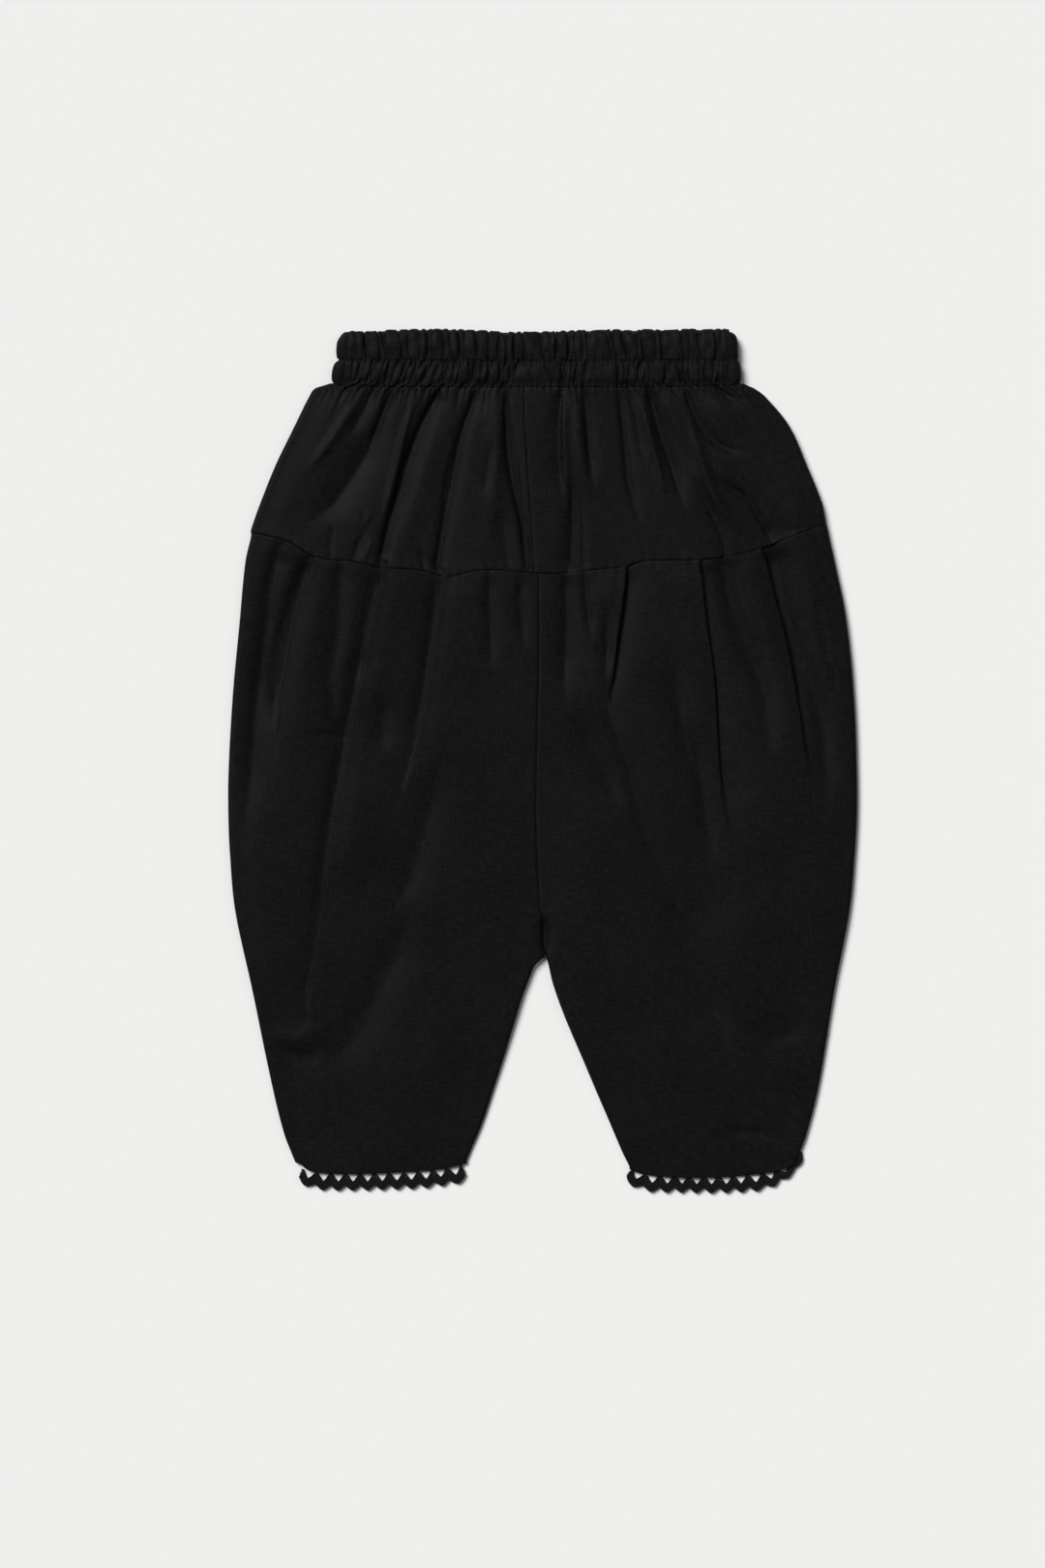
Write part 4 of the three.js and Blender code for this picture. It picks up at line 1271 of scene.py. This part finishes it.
def braid_material():
    """Matt black yarn with fine fibres along its plies."""
    material, tree, shader = new_material(
        "black_braid", Specular_IOR_Level=0.12, Sheen_Weight=0.04, Sheen_Roughness=0.5
    )
    start = Shade(tree)
    place = start.node("ShaderNodeTexCoord", output=3)
    fibres = start.noise(place, 2600.0, 3.0)
    patches = start.noise(place, 160.0)
    tone = start.node("ShaderNodeClamp", None, {0: fibres * 0.8 + patches * 0.4 - 0.1})
    shown = colours(tree, tone, (0.003, 0.003, 0.0032), (0.0072, 0.0072, 0.0076))
    shown.feed(shader, "Base Color")
    rough = 0.72 + fibres * 0.2
    rough.feed(shader, "Roughness")
    bump = start.node("ShaderNodeBump", None, {"Height": fibres, "Strength": 0.5, "Distance": 0.0001})
    bump.feed(shader, "Normal")
    return material


def floor_material():
    """Smooth pale paper."""
    material, tree, shader = new_material("pale_floor", Roughness=0.9, Specular_IOR_Level=0.1)
    start = Shade(tree)
    place = start.node("ShaderNodeTexCoord", output=3)
    grain = start.noise(place, 900.0)
    shown = colours(tree, grain, (0.80, 0.80, 0.80), (0.82, 0.82, 0.82))
    shown.feed(shader, "Base Color")
    return material


def make_floor():
    bpy.ops.mesh.primitive_plane_add(size=60, location=(0, 0, 0))
    floor = bpy.context.object
    floor.name = "floor"
    floor.data.materials.append(floor_material())


def make_light():
    world = bpy.data.worlds.new("studio")
    bpy.context.scene.world = world
    world.use_nodes = True
    background = world.node_tree.nodes["Background"]
    background.inputs["Color"].default_value = (1.0, 1.0, 1.0, 1)
    background.inputs["Strength"].default_value = 0.1
    for name, place, energy, spread in (
        ("soft_window", (-0.75, 0.8, 1.2), 3.8, 30),
        ("pale_reflector", (0.9, 0.3, 1.2), 0.3, 60),
    ):
        lamp = bpy.data.lights.new(name, "SUN")
        lamp.energy = energy
        lamp.angle = math.radians(spread)
        lamp.color = (1.0, 0.995, 0.985)
        shining = bpy.data.objects.new(name, lamp)
        shining.location = place
        shining.rotation_mode = "QUATERNION"
        shining.rotation_quaternion = (-shining.location).to_track_quat("-Z", "Y")
        bpy.context.collection.objects.link(shining)


VIEW_CENTRE = (-8.5, 234.5)
VIEW_HEIGHT = 810
LENS = 80
SENSOR = 36


def make_camera():
    """Straight above, with the frame's long side down the garment."""
    data = bpy.data.cameras.new("camera")
    data.lens = LENS
    data.sensor_width = SENSOR
    data.clip_start = 0.05
    data.clip_end = 20
    camera = bpy.data.objects.new("camera", data)
    distance = VIEW_HEIGHT / 2 * LENS / (SENSOR / 2)
    across, down = VIEW_CENTRE
    camera.location = to_frame(np.float64(across), np.float64(down), np.float64(distance))
    bpy.context.collection.objects.link(camera)
    bpy.context.scene.camera = camera


def finish_piece(piece, material, slot, *nodes):
    piece.data.materials.clear()
    piece.data.materials.append(material)
    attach(piece, "root")
    if nodes:
        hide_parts(*nodes)


cotton = cotton_material()
braid = braid_material()
make_floor()
make_light()
make_camera()

waistband = make_waistband()
finish_piece(waistband, cotton, "cotton", "waistband")
casing_stitches = make_casing_stitches()
finish_piece(casing_stitches, braid, "cotton")
for side in ("right", "left"):
    yoke = make_yoke(side)
    finish_piece(yoke, cotton, "cotton", f"yoke_{side}")
    leg = make_leg(side)
    finish_piece(leg, cotton, "cotton", f"leg_{side}")
    for level in ("front", "back"):
        lace = make_lace(side, level)
        finish_piece(lace, braid, "lace", f"hem_lace_{side}_{level}")

bpy.context.scene.view_settings.view_transform = "Standard"
